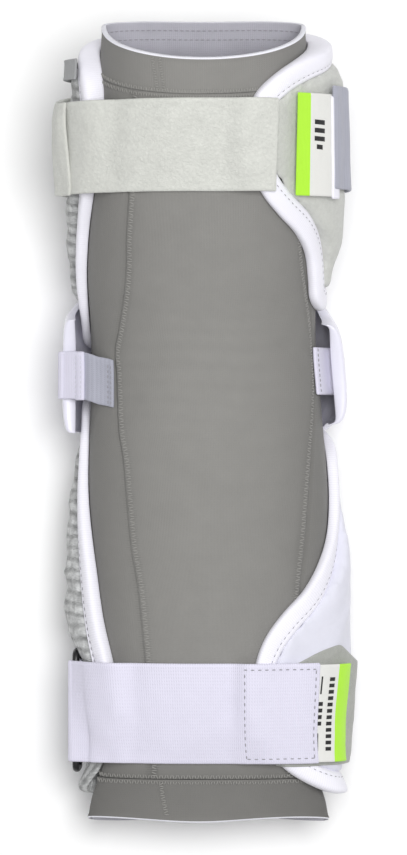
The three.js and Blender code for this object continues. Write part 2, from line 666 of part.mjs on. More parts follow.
// Left webbing: from the hem of the elastic to the sleeve's seam
function elbowTabLeft() {
  const hem = -CAP.reach - ELASTIC.hem;
  const places = [{ angle: hem - 1.5, lift: 4.2 }, { angle: hem - 6, lift: 1.8 },
    { angle: hem - 11, lift: FIT }, { angle: hem - 15, lift: FIT }];
  return strap(ELASTIC, places, 2);
}

// Right elastic: from the sleeve's seam down the inside of the cap's side wall
function elbowTabRight() {
  const rim = CAP.reach;
  const places = [{ angle: rim + 8, lift: SEAT }, { angle: rim + 3, lift: 1.1 }, { angle: rim - 2, lift: 2.4 },
    { angle: rim - 8, lift: 4.6 }, { angle: rim - 14, lift: 6 }, { angle: rim - 22, lift: 6.6 },
    { angle: rim - 30, lift: 6.6 }];
  const higher = CAP.right.middle - CAP.left.middle + 2 * SEAT;
  return strap({ ...ELASTIC, slant: 0, from: ELASTIC.from + higher }, places, 2);
}

function bicepStrap() {
  const place = (angle) => {
    const bulge = ease((BULGE.to - angle) / BULGE.over) * ease((angle - BULGE.from) / BULGE.over);
    return { angle, lift: bridge(BICEP_PAD, BAND, inner(angle)) + BULGE.height * bulge };
  };
  return strap(BAND, [...spread(BAND.start, -180, 18), ...spread(172, BAND.end, 5)].map(place));
}

// Elastic that comes round from the back and carries the bicep label at its end
function bicepPull() {
  const place = (angle) => ({ angle, lift: bridge(BICEP_PAD, PULL, angle) });
  return strap(PULL, spread(PULL.start, PULL.end, 9).map(place), 2);
}

function bicepLabel() {
  const place = (angle) => ({ angle, lift: bridge(BICEP_PAD, PULL, angle) + PULL.thickness + FIT });
  return strap(BICEP_LABEL, spread(BICEP_LABEL.start, BICEP_LABEL.end, 5).map(place), 2);
}

// Centre of a bar of the ring, and the ring as a closed loop of wire
function ringBar(angle) {
  const end = RING.spare + RING.wire;
  const span = { from: WEB.from - end, width: WEB.width + 2 * end };
  const lift = bridge(FOREARM_PAD, span, angle) + WEB.thickness + FIT + RING.wire / 2;
  return wrap(middleOf(WEB), angle, lift);
}

function forearmRing() {
  const [front, back] = [ringBar(RING.front), ringBar(RING.back)];
  const wide = new THREE.Vector3(back.x - front.x, 0, back.z - front.z);
  const across = wide.clone().normalize();
  const normal = new THREE.Vector3(0, 1, 0).cross(across);
  const half = { x: wide.length() / 2, y: WEB.width / 2 + RING.spare + RING.wire / 2 };
  const middle = new THREE.Vector3(front.x, middleOf(WEB), front.z).addScaledVector(wide, 0.5);
  const corner = RING.wire;
  const path = [];
  for (let k = 0; k < 4; k += 1) {
    for (const turn of [0, 45, 90]) {
      const angle = rad(k * 90 + turn);
      const sx = [1, -1, -1, 1][k];
      const sy = [1, 1, -1, -1][k];
      path.push({
        x: sx * (half.x - corner) + corner * Math.cos(angle),
        y: sy * (half.y - corner) + corner * Math.sin(angle),
        out: new THREE.Vector2(Math.cos(angle), Math.sin(angle)),
      });
    }
  }
  return loop(path.map(({ x, y, out }) => Array.from({ length: 8 }, (_, k) => {
    const around = rad(45 * k + 22.5);
    const reach = (RING.wire / 2) * Math.cos(around);
    return middle.clone()
      .addScaledVector(across, x + reach * out.x)
      .add(new THREE.Vector3(0, y + reach * out.y, 0))
      .addScaledVector(normal, (RING.wire / 2) * Math.sin(around));
  })));
}

const foldHalf = RING.wire / 2 + FIT + WEB.thickness / 2;
const ringFold = { x: foldHalf, z: foldHalf };

function forearmStrap() {
  const past = (angle) => ease((angle - FOREARM_LABEL.end - 2) / 8);
  const over = (angle) => (angle > 0 ? (FOREARM_LABEL.thickness + 2 * FIT) * (1 - past(angle)) : 0);
  const place = (angle) => ({ angle, lift: bridge(FOREARM_PAD, WEB, angle) + over(angle) });
  const run = [...spread(WEB.start, 171, 9), ...spread(-180, RING.front - RING.run, 11)].map(place);
  const bar = ringBar(RING.front);
  return strap(WEB, [...run, ...arc(() => bar, ringFold, 110, 340, 8)]);
}

// Webbing that holds the ring on the pad's side
function ringAnchor() {
  const run = spread(WEB.anchor, RING.back + RING.run + 1, 4).map((angle) => (
    { angle, lift: bridge(FOREARM_PAD, WEB, angle) }));
  const bar = ringBar(RING.back);
  return strap(WEB, [...run, ...arc(() => bar, ringFold, 245, 30, 7)], 2);
}

function forearmLabel() {
  const place = (angle) => ({ angle, lift: bridge(FOREARM_PAD, WEB, angle) });
  return strap(FOREARM_LABEL, spread(FOREARM_LABEL.start, FOREARM_LABEL.end, 6).map(place), 2);
}

// One named sub-part in its own colour
function piece(name, geometry, color, roughness, metalness = 0) {
  const mesh = new THREE.Mesh(geometry, new THREE.MeshStandardMaterial({ color, roughness, metalness }));
  mesh.name = name;
  return mesh;
}

const guard = new THREE.Group();
guard.add(
  piece("sleeve_back", sleevePanel(SLEEVE.backSides,
    (t) => seam("left", t), (t) => seam("right", t)), 0x8c8b87, 0.9),
  piece("sleeve_front", sleevePanel(SLEEVE.frontSides,
    (t) => seam("right", t), (t) => seam("left", t) + 360), 0x8c8b87, 0.9),
  piece("bicep_cuff", sleeveWall(() => SLEEVE.upper - SLEEVE.bicepCuff, bicepRim, 3), 0x8a8985, 0.9),
  piece("forearm_cuff", sleeveWall(
    () => -SLEEVE.forearm, () => -SLEEVE.forearm + SLEEVE.forearmCuff, 3), 0x8a8985, 0.9),
  piece("bicep_pad", padCore(BICEP_PAD), 0xa9abab, 0.8),
  piece("bicep_pad_binding", padBinding(BICEP_PAD, 62), 0xf2f1fa, 0.6),
  piece("forearm_pad", padCore(FOREARM_PAD), 0xa9abab, 0.8),
  piece("forearm_pad_binding", padBinding(FOREARM_PAD, 66), 0xf2f1fa, 0.6),
  piece("elbow_cap", elbowCap(), 0xd8d7e4, 0.25),
  piece("elbow_loop_left", elbowLoopLeft(), 0xdcdae8, 0.8),
  piece("elbow_tab_left", elbowTabLeft(), 0xb9bac8, 0.8),
  piece("elbow_tab_right", elbowTabRight(), 0xdcdae8, 0.8),
  piece("bicep_strap", bicepStrap(), 0xd5d6d0, 0.95),
  piece("bicep_pull_strap", bicepPull(), 0xb9bac8, 0.8),
  piece("bicep_label", bicepLabel(), 0xe8e9e4, 0.6),
  piece("forearm_strap", forearmStrap(), 0xdcdae8, 0.8),
  piece("forearm_ring", forearmRing(), 0x151516, 0.45),
  piece("ring_anchor", ringAnchor(), 0xb9bac8, 0.8),
  piece("forearm_label", forearmLabel(), 0xe8e9e4, 0.6),
);

export default guard;
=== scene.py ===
"""Padded arm guard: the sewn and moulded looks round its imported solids.

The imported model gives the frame. Every soft solid is replaced by a detailed piece in the
same place, built on the arm's own shape. Lengths along the arm and lifts off the sleeve are
in millimetres, angles round the arm are in degrees, and finished meshes are in metres.
"""

import math
from functools import lru_cache

import bmesh
import bpy
from bpy.props import FloatProperty, FloatVectorProperty, PointerProperty
from mathutils import Matrix, Vector, noise
from mathutils.bvhtree import BVHTree


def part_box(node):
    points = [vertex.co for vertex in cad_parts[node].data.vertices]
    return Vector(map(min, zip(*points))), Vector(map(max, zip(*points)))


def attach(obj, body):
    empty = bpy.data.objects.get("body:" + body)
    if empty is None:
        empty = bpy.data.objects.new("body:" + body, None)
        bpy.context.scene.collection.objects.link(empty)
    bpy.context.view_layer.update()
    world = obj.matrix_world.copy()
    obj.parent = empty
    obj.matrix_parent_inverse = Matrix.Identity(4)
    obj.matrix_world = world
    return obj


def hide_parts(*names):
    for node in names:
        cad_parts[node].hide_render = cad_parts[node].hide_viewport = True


bl_info = {
    "name": "Padded Arm Guard",
    "version": (1, 0, 0),
    "blender": (4, 5, 0),
    "location": "3D View > Sidebar > Arm Guard",
    "description": "Builds a padded arm guard round its packed solids",
    "category": "Object",
}

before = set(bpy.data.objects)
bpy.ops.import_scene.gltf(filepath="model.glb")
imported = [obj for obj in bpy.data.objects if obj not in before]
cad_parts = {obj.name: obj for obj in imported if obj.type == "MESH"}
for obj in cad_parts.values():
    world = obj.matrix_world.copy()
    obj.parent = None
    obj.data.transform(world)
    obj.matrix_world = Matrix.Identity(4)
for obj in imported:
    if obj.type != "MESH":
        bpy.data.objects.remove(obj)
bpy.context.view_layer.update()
MM = 0.001

# The arm that the guard is shaped on. Angles round it are 0 at the back of the elbow, 180
# at the inner side and positive on the +X side. Places along it are 0 at the elbow.
FOREARM = 211
UPPER = 169.5
WIDTH = 107
DEPTH = 80
WALL = 1.8
SQUARENESS = 2.3
FLATNESS = 0.7
HEIGHT = 55
FOREARM_RISE = math.radians(2.5)
BICEP_RISE = math.radians(20)
BEND = (-20, 50)
SEAT = 0.9
FIT = 0.3
DEGREES_PER_MM = math.degrees(2 / WIDTH)

# Oval sections: share along the forearm (below 0) or the upper arm, half width and sideways
# shift as shares of the width, height above and depth below the axis as shares of the depth
SECTIONS = (
    (-1.0, 0.535, 0.015, 0.085, 0.085),
    (-0.95, 0.515, 0.014, 0.14, 0.125),
    (-0.88, 0.47, 0.012, 0.235, 0.215),
    (-0.78, 0.455, 0.012, 0.33, 0.36),
    (-0.64, 0.478, 0.014, 0.39, 0.425),
    (-0.47, 0.51, 0.016, 0.42, 0.45),
    (-0.28, 0.53, 0.016, 0.45, 0.48),
    (-0.1, 0.512, 0.006, 0.465, 0.53),
    (0.09, 0.497, -0.006, 0.47, 0.53),
    (0.33, 0.5, -0.016, 0.475, 0.42),
    (0.64, 0.468, -0.01, 0.485, 0.3),
    (0.87, 0.45, -0.007, 0.5, 0.22),
    (1.0, 0.438, -0.006, 0.505, 0.185),
)

# Seams down the sleeve: place along the arm, angle of the left seam, angle of the right one
SEAMS = (
    (-190, -139, 121),
    (-133, -136, 121),
    (-100, -134, 121),
    (-81, -131, 120),
    (-57, -129, 118),
    (-39, -127, 114.5),
    (-25, -124, 110.5),
    (-9.5, -123, 106.5),
    (4, -122.5, 104.5),
    (17, -122, 104.5),
    (28, -125, 105.5),
    (45.5, -129, 109.5),
    (61, -131, 112.5),
    (76, -131, 114),
    (97, -132, 115.5),
    (148, -134, 117),
)

# Edges of the two pads as angle and share along, once round, and where each pad starts
# along the arm, how far it reaches and how far its binding stands off at the far end
BICEP_EDGE = (
    (-78, 0.03), (-90, 0.12), (-96, 0.3), (-98, 0.42), (-103, 0.55), (-108, 0.7),
    (-111, 0.82), (-107, 0.91), (-93, 0.965), (-45, 0.995), (30, 1), (96, 1),
    (118, 0.995), (135, 0.965), (149, 0.9), (153, 0.8), (151, 0.7), (143, 0.6),
    (132, 0.52), (121, 0.45), (113, 0.37), (110.5, 0.28), (109, 0.215), (101, 0.168),
    (86, 0.15), (66, 0.115), (44, 0.02), (0, 0), (-60, 0),
)  # fmt: skip
FOREARM_EDGE = (
    (-80, 0.02), (-91, 0.1), (-94, 0.19), (-100, 0.3), (-106, 0.43), (-110, 0.56),
    (-116, 0.67), (-118, 0.76), (-110, 0.86), (-95, 0.945), (-80, 1), (-30, 1),
    (30, 1), (84, 1), (104, 0.99), (123, 0.945), (139, 0.87), (147, 0.79),
    (148, 0.68), (143, 0.605), (133, 0.54), (120, 0.48), (109, 0.41), (99, 0.33),
    (95, 0.25), (91, 0.165), (80, 0.11), (63, 0.065), (44, 0.01), (0, 0), (-60, 0),
)  # fmt: skip
PADS = {
    "bicep_pad": {"edge": BICEP_EDGE, "start": 8, "reach": 154, "flare": 1.5},
    "forearm_pad": {"edge": FOREARM_EDGE, "start": -8, "reach": -191, "flare": 5},
}

# Elbow cap at the back, the left and the right: half length and middle of the rim along the
# arm, and the outer face's lift off the sleeve at mid length and at the ends
CAP_SIDES = {
    "back": (35, 2, 13.5, 9.8),
    "left": (27.8, 0.6, 13.6, 9.4),
    "right": (24.5, 1.4, 13, 4.9),
}
CAP_REACH = 97
CAP_WALL = 3
CAP_RIM = 6.3


def clamp(x, low=0.0, high=1.0):
    return min(max(x, low), high)


def lerp(a, b, share):
    return a + (b - a) * share


def ease(x):
    x = clamp(x)
    return x * x * (3 - 2 * x)


def bump_at(x, middle, width):
    """A smooth hump of height 1 at the middle."""
    return math.exp(-(((x - middle) / width) ** 2))


def spread(start, end, steps):
    return [lerp(start, end, i / steps) for i in range(steps + 1)]


def column(table, place, k):
    """Value of a table's column at a place, by smooth curves through its rows."""
    last = len(table) - 1
    i = next((j for j, row in enumerate(table) if row[0] > place), last) - 1
    i = int(clamp(i, 0, last - 1))

    def slope(j):
        a, b = table[max(j - 1, 0)], table[min(j + 1, last)]
        return (b[k] - a[k]) / (b[0] - a[0])

    p, q = table[i], table[i + 1]
    span = q[0] - p[0]
    u = clamp((place - p[0]) / span)
    smooth = p[k] + (q[k] - p[k]) * u * u * (3 - 2 * u)
    return smooth + span * u * (1 - u) * (slope(i) * (1 - u) - slope(i + 1) * u)


def rise(t):
    return lerp(FOREARM_RISE, BICEP_RISE, clamp((t - BEND[0]) / (BEND[1] - BEND[0])))


def axis_from_bend(t):
    a, b = FOREARM_RISE, BICEP_RISE
    radius = (BEND[1] - BEND[0]) / (b - a)
    before, after, now = min(t - BEND[0], 0), max(t - BEND[1], 0), rise(t)
    y = before * math.cos(a) + radius * (math.sin(now) - math.sin(a)) + after * math.cos(b)
    z = before * math.sin(a) + radius * (math.cos(a) - math.cos(now)) + after * math.sin(b)
    return y, z


ELBOW = axis_from_bend(0)


def axis(t):
    y, z = axis_from_bend(t)
    return y - ELBOW[0], z - ELBOW[1] + HEIGHT


@lru_cache(maxsize=200000)
def section(t):
    along = t / (FOREARM if t < 0 else UPPER)
    half, side, front, back = (column(SECTIONS, along, k) for k in (1, 2, 3, 4))
    return half * WIDTH, side * WIDTH, front * DEPTH, back * DEPTH


def wrap(t, angle, lift, floor=0):
    """Point at a place along the arm, round it and off the sleeve, in metres."""
    half, side, front, back = section(round(t, 4))
    n = SQUARENESS
    across, up = math.sin(math.radians(angle)), -math.cos(math.radians(angle))
    high = front if up > 0 else back
    up *= min(high / half / FLATNESS, 1)
    r = ((abs(across) / half) ** n + (abs(up) / high) ** n) ** (-1 / n)
    nx = math.copysign(abs(r * across) ** (n - 1) / half**n, across)
    nz = math.copysign(abs(r * up) ** (n - 1) / high**n, up)
    size = math.hypot(nx, nz)
    across, up = side + r * across + lift * nx / size, r * up + lift * nz / size
    y, z = axis(t)
    lean = rise(t)
    z = z + math.cos(lean) * up
    return Vector((across, y - math.sin(lean) * up, z if floor is None else max(z, floor))) * MM


def locate(point):
    """Place along the arm, angle round it and lift off the sleeve, near a point."""
    x, y, z = point / MM
    t = y
    for _ in range(5):
        ay, az = axis(t)
        lean = rise(t)
        t += (y - ay) * math.cos(lean) + (z - az) * math.sin(lean)
    up = (z - az) * math.cos(lean) - (y - ay) * math.sin(lean)
    half, side, front, back = section(round(t, 4))
    across = x - side
    high = front if up > 0 else back
    n = SQUARENESS
    norm = ((abs(across) / half) ** n + (abs(up) / high) ** n) ** (1 / n)
    lift = math.hypot(across, up) * (1 - 1 / max(norm, 0.01))
    angle = math.degrees(math.atan2(across, -up / min(high / half / FLATNESS, 1)))
    return t, angle, lift


def level_to(y, angle, lift):
    """Place along the arm where a point has this y, as on a level strap."""
    t = y
    for _ in range(8):
        t += y - wrap(t, angle, lift).y / MM
    return t


def normal_at(t, angle):
    return (wrap(t, angle, 2, None) - wrap(t, angle, 0, None)).normalized()


def seam(side, t):
    return column(SEAMS, t, 1 if side == "left" else 2)


def cap_side(angle):
    side = CAP_SIDES["left" if angle < 0 else "right"]
    share = ease((abs(angle) - 50) / 32)
    return [lerp(a, b, share) for a, b in zip(CAP_SIDES["back"], side)]


def cap_lift(angle, share):
    _, _, stand, end_stand = cap_side(angle)
    crown = (1 - min(abs(share), 1) ** 3) ** (1 / 3)
    outer = lerp(end_stand, stand, crown)
    bar = min(stand - CAP_RIM, outer - CAP_WALL)
    inner = lerp(outer - CAP_WALL, bar, ease((abs(angle) - CAP_REACH + 9) / 4))
    return outer, max(inner, SEAT)


def cap_bar(side, y):
    """Middle of the bar along one side of the cap, in metres."""
    angle = side * (CAP_REACH - 3.5)
    lift = cap_lift(angle, 0)[0] - CAP_RIM / 2
    return wrap(level_to(y, angle, lift), angle, lift)


class Stack:
    """Finished pieces that lie on each other, and how high they stand off the sleeve."""

    def __init__(self, *objects):
        depsgraph = bpy.context.evaluated_depsgraph_get()
        self.trees = [BVHTree.FromObject(o, depsgraph) for o in objects]

    def top(self, t, angle, reach=45):
        start, end = wrap(t, angle, reach, None), wrap(t, angle, 0, None)
        way = (end - start).normalized()
        best = 0.0
        for tree in self.trees:
            hit = tree.ray_cast(start, way, (end - start).length)
            if hit[0] is not None:
                best = max(best, reach - hit[3] / MM)
        return best

    def nearest(self, point):
        return min(tree.find_nearest(point)[3] for tree in self.trees)


# Closed curve through a pad's edge points, x round the arm and y along it in millimetres


def edge_points(pad):
    return [
        Vector((angle / DEGREES_PER_MM, pad["start"] + share * pad["reach"]))
        for angle, share in pad["edge"]
    ]


def edge_curve(pad, steps):
    """Evenly spaced points of the smooth closed curve, with the way inwards at each."""
    points = edge_points(pad)
    count = len(points)
    fine = []
    for i in range(count):
        p = [points[(i + k - 1) % count] for k in range(4)]
        knots = [0.0]
        for k in range(3):
            knots.append(knots[-1] + (p[k + 1] - p[k]).length ** 0.5)
        for j in range(12):
            s = lerp(knots[1], knots[2], j / 12)

            def mix(a, b, lo, hi):
                return a * ((hi - s) / (hi - lo)) + b * ((s - lo) / (hi - lo))

            a = [mix(p[k], p[k + 1], knots[k], knots[k + 1]) for k in range(3)]
            b = [mix(a[k], a[k + 1], knots[k], knots[k + 2]) for k in range(2)]
            fine.append(mix(b[0], b[1], knots[1], knots[2]))
    run = [0.0]
    for a, b in zip(fine, fine[1:] + fine[:1]):
        run.append(run[-1] + (b - a).length)
    found = []
    j = 0
    for k in range(steps):
        want = run[-1] * k / steps
        while run[j + 1] < want:
            j += 1
        share = (want - run[j]) / (run[j + 1] - run[j])
        found.append(fine[j % len(fine)].lerp(fine[(j + 1) % len(fine)], share))
    turn = 1 if pad["reach"] > 0 else -1
    inwards = []
    for k in range(steps):
        way = (found[(k + 1) % steps] - found[k - 1]).normalized()
        inwards.append(Vector((way.y, -way.x)) * turn)
    return found, inwards


def smooth_ring(values, passes):
    for _ in range(passes):
        values = [
            (values[k - 1] + 2 * values[k] + values[(k + 1) % len(values)]) / 4
            for k in range(len(values))
        ]
    return values


# Mesh building


def slab(columns, rows, solid=True, holes=None):
    """A flat grid or closed slab, 1 by 1, with its flat places kept on its vertices."""
    bm = bmesh.new()
    bmesh.ops.create_grid(bm, x_segments=columns, y_segments=rows, size=0.5)
    if holes:
        gone = [f for f in bm.faces if holes(f.calc_center_median() + Vector((0.5, 0.5, 0)))]
        bmesh.ops.delete(bm, geom=gone, context="FACES")
    if solid:
        bmesh.ops.solidify(bm, geom=bm.faces[:], thickness=1)
    bmesh.ops.translate(bm, verts=bm.verts[:], vec=(0.5, 0.5, 1 if solid else 0))
    return bm


def place_slab(bm, shape, size, paint=None, round_x=False, round_y=False):
    """Writes the flat places as a UV map in metres, then moves the slab's vertices."""
    cloth = bm.loops.layers.uv.new("cloth")
    for face in bm.faces:
        for loop in face.loops:
            loop[cloth].uv = (loop.vert.co.x * size[0], loop.vert.co.y * size[1])
        if paint:
            face.material_index = paint(face.calc_center_median())
    closing = []
    if round_x or round_y:
        for face in bm.faces:
            ends = [v.co for v in face.verts]
            shut_x = round_x and (all(c.x < 1e-5 for c in ends) or all(c.x > 1 - 1e-5 for c in ends))
            shut_y = round_y and (all(c.y < 1e-5 for c in ends) or all(c.y > 1 - 1e-5 for c in ends))
            if shut_x or shut_y:
                closing.append(face)
        bmesh.ops.delete(bm, geom=closing, context="FACES_ONLY")
    for vert in bm.verts:
        vert.co = shape(*vert.co)
    if round_x or round_y:
        bmesh.ops.remove_doubles(bm, verts=bm.verts[:], dist=1e-6)
    bmesh.ops.recalc_face_normals(bm, faces=bm.faces[:])


def make(bm, name, materials, replaces=(), levels=0):
    """The finished piece from its mesh, riding on the part's one body."""
    mesh = bpy.data.meshes.new(name)
    bm.to_mesh(mesh)
    bm.free()
    obj = bpy.data.objects.new(name, mesh)
    bpy.context.scene.collection.objects.link(obj)
    return dress(obj, materials, replaces, levels)


def dress(obj, materials, replaces=(), levels=0):
    mesh = obj.data
    if len(mesh.materials):
        mesh.materials.clear()
    for name in [materials] if isinstance(materials, str) else materials:
        mesh.materials.append(finish_of(name))
    mesh.shade_smooth()
    if levels:
        made = obj.modifiers.new("smooth", "SUBSURF")
        made.levels = made.render_levels = levels
    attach(obj, "root")
    if replaces:
        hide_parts(*replaces)
    return obj


class Ribbon:
    """Cloth tape on a grid of places. line gives the tape's points, in metres, at a share
    of its width."""

    def __init__(self, line, thickness, columns, rows, turned=1):
        self.rows, self.columns, self.thickness = rows, columns, thickness * MM
        self.grid = [self.even(line(v / rows), columns) for v in range(rows + 1)]
        self.turned = turned

    @staticmethod
    def even(points, count):
        """The same line with evenly spaced points on smooth curves."""
        fine = []
        for i in range(len(points) - 1):
            p = [points[int(clamp(i + k - 1, 0, len(points) - 1))] for k in range(4)]
            for j in range(6):
                s = j / 6
                fine.append(
                    0.5
                    * (
                        2 * p[1]
                        + (p[2] - p[0]) * s
                        + (2 * p[0] - 5 * p[1] + 4 * p[2] - p[3]) * s * s
                        + (3 * p[1] - p[0] - 3 * p[2] + p[3]) * s**3
                    )
                )
        fine.append(points[-1])
        run = [0.0]
        for a, b in zip(fine, fine[1:]):
            run.append(run[-1] + (b - a).length)
        found = []
        j = 0
        for k in range(count + 1):
            want = run[-1] * k / count
            while j < len(fine) - 2 and run[j + 1] < want:
                j += 1
            share = (want - run[j]) / max(run[j + 1] - run[j], 1e-9)
            found.append(fine[j].lerp(fine[j + 1], clamp(share)))
        return found

    def spot(self, u, v):
        """Middle of the cloth and its outward normal at shares along and across it."""
        x, y = clamp(u) * self.columns, clamp(v) * self.rows
        i, j = min(int(x), self.columns - 1), min(int(y), self.rows - 1)
        g = self.grid
        low = g[j][i].lerp(g[j][i + 1], x - i)
        high = g[j + 1][i].lerp(g[j + 1][i + 1], x - i)
        a, b = max(i - 1, 0), min(i + 2, self.columns)
        way = (g[j][b] - g[j][a]) + (g[j + 1][b] - g[j + 1][a])
        normal = way.cross(high - low).normalized() * self.turned
        return low.lerp(high, y - j), normal

    def on(self, u, v, height):
        """Point above the outer face, by a height in millimetres."""
        point, normal = self.spot(u, v)
        return point + normal * (self.thickness / 2 + height * MM)

    def length(self):
        line = self.grid[self.rows // 2]
        return sum((b - a).length for a, b in zip(line, line[1:]))

    def width(self):
        return (self.grid[0][0] - self.grid[-1][0]).length

    def piece(self, name, materials, slot, replaces=(), relief=None, levels=1, paint=None):
        bm = slab(self.columns, self.rows)
        size = (self.length(), self.width())

        def shape(u, v, w):
            point, normal = self.spot(u, v)
            raised = relief(u, v, w) * MM if relief else 0
            return point + normal * (self.thickness * (w - 0.5) + raised)

        place_slab(bm, shape, size, paint)
        return make(bm, name, materials, replaces, levels)


def arm_line(band, angles, lifts):
    """Points of a tape with level edges at a share of its width. lifts gives the lift of its
    middle at each angle's index and that share."""

    def line(v):
        y = lerp(band["from"], band["from"] + band["width"], v)
        found = []
        for k, angle in enumerate(angles):
            lift = lifts(k, v)
            found.append(wrap(level_to(y, angle, lift), angle, lift))
        return found

    return line


REST_STEP = 0.23
REST_SHARES = (0.04, 0.27, 0.5, 0.73, 0.96)


def rest_lifts(band, angles, stack, gap, reach=8, smooth=3, follow=0.5):
    """Lift of a tape's middle where it lies over pieces and bridges their edges. follow is
    how far each of its edges sinks to what is right below it."""
    rows = []
    for v in REST_SHARES:
        y = band["from"] + band["width"] * v
        tops = []
        for angle in angles:
            spots = [angle - reach, angle, angle + reach]
            tops.append(max(stack.top(level_to(y, a, 6), a) for a in spots))
        last = len(tops) - 1
        for _ in range(smooth):
            tops = [
                (tops[max(k - 1, 0)] + 2 * tops[k] + tops[min(k + 1, last)]) / 4
                for k in range(last + 1)
            ]
        rows.append(tops)
    level = [max(row[k] for row in rows) for k in range(len(angles))]

    def lift(k, v):
        x = clamp((v - REST_SHARES[0]) / REST_STEP, 0, 3.999)
        local = lerp(rows[int(x)][k], rows[int(x) + 1][k], x - int(x))
        return lerp(level[k], local, follow) + gap + band["thickness"] / 2

    return lift


# Stitches


# Kinds of stitching: length, gap and thread radius in millimetres, half width of a zigzag
STITCHES = {
    "seam": {"length": 1.35, "gap": 0, "radius": 0.3, "sway": 1.25, "thread": "thread_grey"},
    "cuff": {"length": 1.3, "gap": 0, "radius": 0.26, "sway": 0.9, "thread": "thread_grey"},
    "upper_join": {"length": 1.2, "gap": 0, "radius": 0.26, "sway": 0.8, "thread": "thread_grey"},
    "wrist_join": {"length": 1.3, "gap": 0, "radius": 0.3, "sway": 1.1, "thread": "thread_grey"},
    "hem": {"length": 2.0, "gap": 0.6, "radius": 0.28, "sway": 0, "thread": "thread_dark"},
    "binding": {"length": 1.7, "gap": 1.5, "radius": 0.27, "sway": 0, "thread": "thread_dark"},
    "tab": {"length": 1.6, "gap": 0.8, "radius": 0.28, "sway": 0, "thread": "thread_dark"},
    "fold": {"length": 1.5, "gap": 0.8, "radius": 0.28, "sway": 0, "thread": "thread_pale"},
    "strap": {"length": 1.9, "gap": 1.5, "radius": 0.3, "sway": 0, "thread": "thread_dark"},
}


def stitches(name, path, kind):
    """A row of small raised beads along a path of (point, normal) places, in a zigzag where
    the kind has a sway."""
    look = STITCHES[kind]
    length, radius, sway = look["length"], look["radius"], look["sway"]
    bm = bmesh.new()
    run = 0.0
    want = length * MM * 0.5
    count = 0
    for (a, na), (b, nb) in zip(path, path[1:]):
        step = (b - a).length
        while step > 1e-9 and run + step >= want:
            share = (want - run) / step
            point, normal = a.lerp(b, share), na.lerp(nb, share).normalized()
            way = (b - a).normalized()
            side = normal.cross(way).normalized()
            half = length * 0.5
            if sway:
                lean = 1 if count % 2 else -1
                way = (way * length * 0.5 + side * lean * sway * 2).normalized()
                half = math.hypot(length, 2 * sway) * 0.5
                side = normal.cross(way).normalized()
            turn = Matrix((way, side, normal)).transposed().to_4x4()
            size = Matrix.Diagonal((half * MM, radius * MM, radius * MM, 1))
            lie = Matrix.Rotation(math.pi / 2, 4, "Y")
            place = Matrix.Translation(point) @ turn @ size @ lie
            bmesh.ops.create_uvsphere(bm, u_segments=6, v_segments=4, radius=1, matrix=place)
            count += 1
            want += (length + look["gap"]) * MM
        run += step
    return make(bm, name, look["thread"])


def sewn_path(tape, spots, height):
    """Path for stitches through shares along and across a tape, just above its face."""
    return [(tape.on(u, v, height), tape.spot(u, v)[1]) for u, v in spots]


# Materials

FLOAT, VECTOR = "NodeSocketFloat", "NodeSocketVector"


def node(tree, kind, inputs=None, **settings):
    """Adds a shader node, links or sets its inputs and returns it."""
    made = tree.nodes.new("ShaderNode" + kind)
    for name, value in settings.items():
        setattr(made, name, value)
    for key, value in (inputs or {}).items():
        if isinstance(value, bpy.types.NodeSocket):
            tree.links.new(value, made.inputs[key])
        else:
            made.inputs[key].default_value = value
    return made


def maths(tree, operation, a, b=0.0):
    return node(tree, "Math", {0: a, 1: b}, operation=operation).outputs[0]


def remap(tree, value, old, new, **settings):
    """The value moved from one range to another, each given as a pair."""
    inputs = {"Value": value, "From Min": old[0], "From Max": old[1], "To Min": new[0], "To Max": new[1]}
    return node(tree, "MapRange", inputs, **settings).outputs[0]


def group(name, inputs, outputs):
    """An empty node group with named float and vector sockets."""
    made = bpy.data.node_groups.new(name, "ShaderNodeTree")
    for label, kind, default in inputs:
        socket = made.interface.new_socket(label, in_out="INPUT", socket_type=kind)
        if default is not None:
            socket.default_value = default
    for label, kind in outputs:
        made.interface.new_socket(label, in_out="OUTPUT", socket_type=kind)
    return made, made.nodes.new("NodeGroupInput"), made.nodes.new("NodeGroupOutput")


def weave_group():
    """Crossing threads at two pitches, in metres, on the piece's own cloth map."""
    made, start, end = group(
        "threads",
        [("Cloth", VECTOR, None), ("Across", FLOAT, 0.001), ("Along", FLOAT, 0.001)],
        [("Height", FLOAT), ("Shade", FLOAT)],
    )
    split = node(made, "SeparateXYZ", {0: start.outputs["Cloth"]})
    waves = []
    for axis_name, pitch in (("X", "Across"), ("Y", "Along")):
        turns = maths(made, "DIVIDE", split.outputs[axis_name], start.outputs[pitch])
        waves.append(maths(made, "SINE", maths(made, "MULTIPLY", turns, 2 * math.pi)))
    crossed = maths(made, "MULTIPLY", waves[0], waves[1])
    summed = maths(made, "ADD", maths(made, "MULTIPLY", waves[0], 0.5), maths(made, "MULTIPLY", crossed, 0.5))
    made.links.new(summed, end.inputs["Height"])
    made.links.new(remap(made, summed, (-1.0, 1.0), (0.93, 1.04)), end.inputs["Shade"])
    return made


def mottle_group():
    """Soft uneven shade at a size in metres, between 1 less and 1 more its strength."""
    made, start, end = group(
        "mottle",
        [("Place", VECTOR, None), ("Size", FLOAT, 0.02), ("Strength", FLOAT, 0.05)],
        [("Shade", FLOAT), ("Height", FLOAT)],
    )
    scale = maths(made, "DIVIDE", 1.0, start.outputs["Size"])
    inputs = {"Vector": start.outputs["Place"], "Scale": scale, "Detail": 3.0, "Roughness": 0.6}
    cloud = node(made, "TexNoise", inputs)
    centred = maths(made, "SUBTRACT", cloud.outputs[0], 0.5)
    made.links.new(centred, end.inputs["Height"])
    raised = maths(made, "MULTIPLY", maths(made, "MULTIPLY", centred, 4.0), start.outputs["Strength"])
    made.links.new(maths(made, "ADD", raised, 1.0), end.inputs["Shade"])
    return made


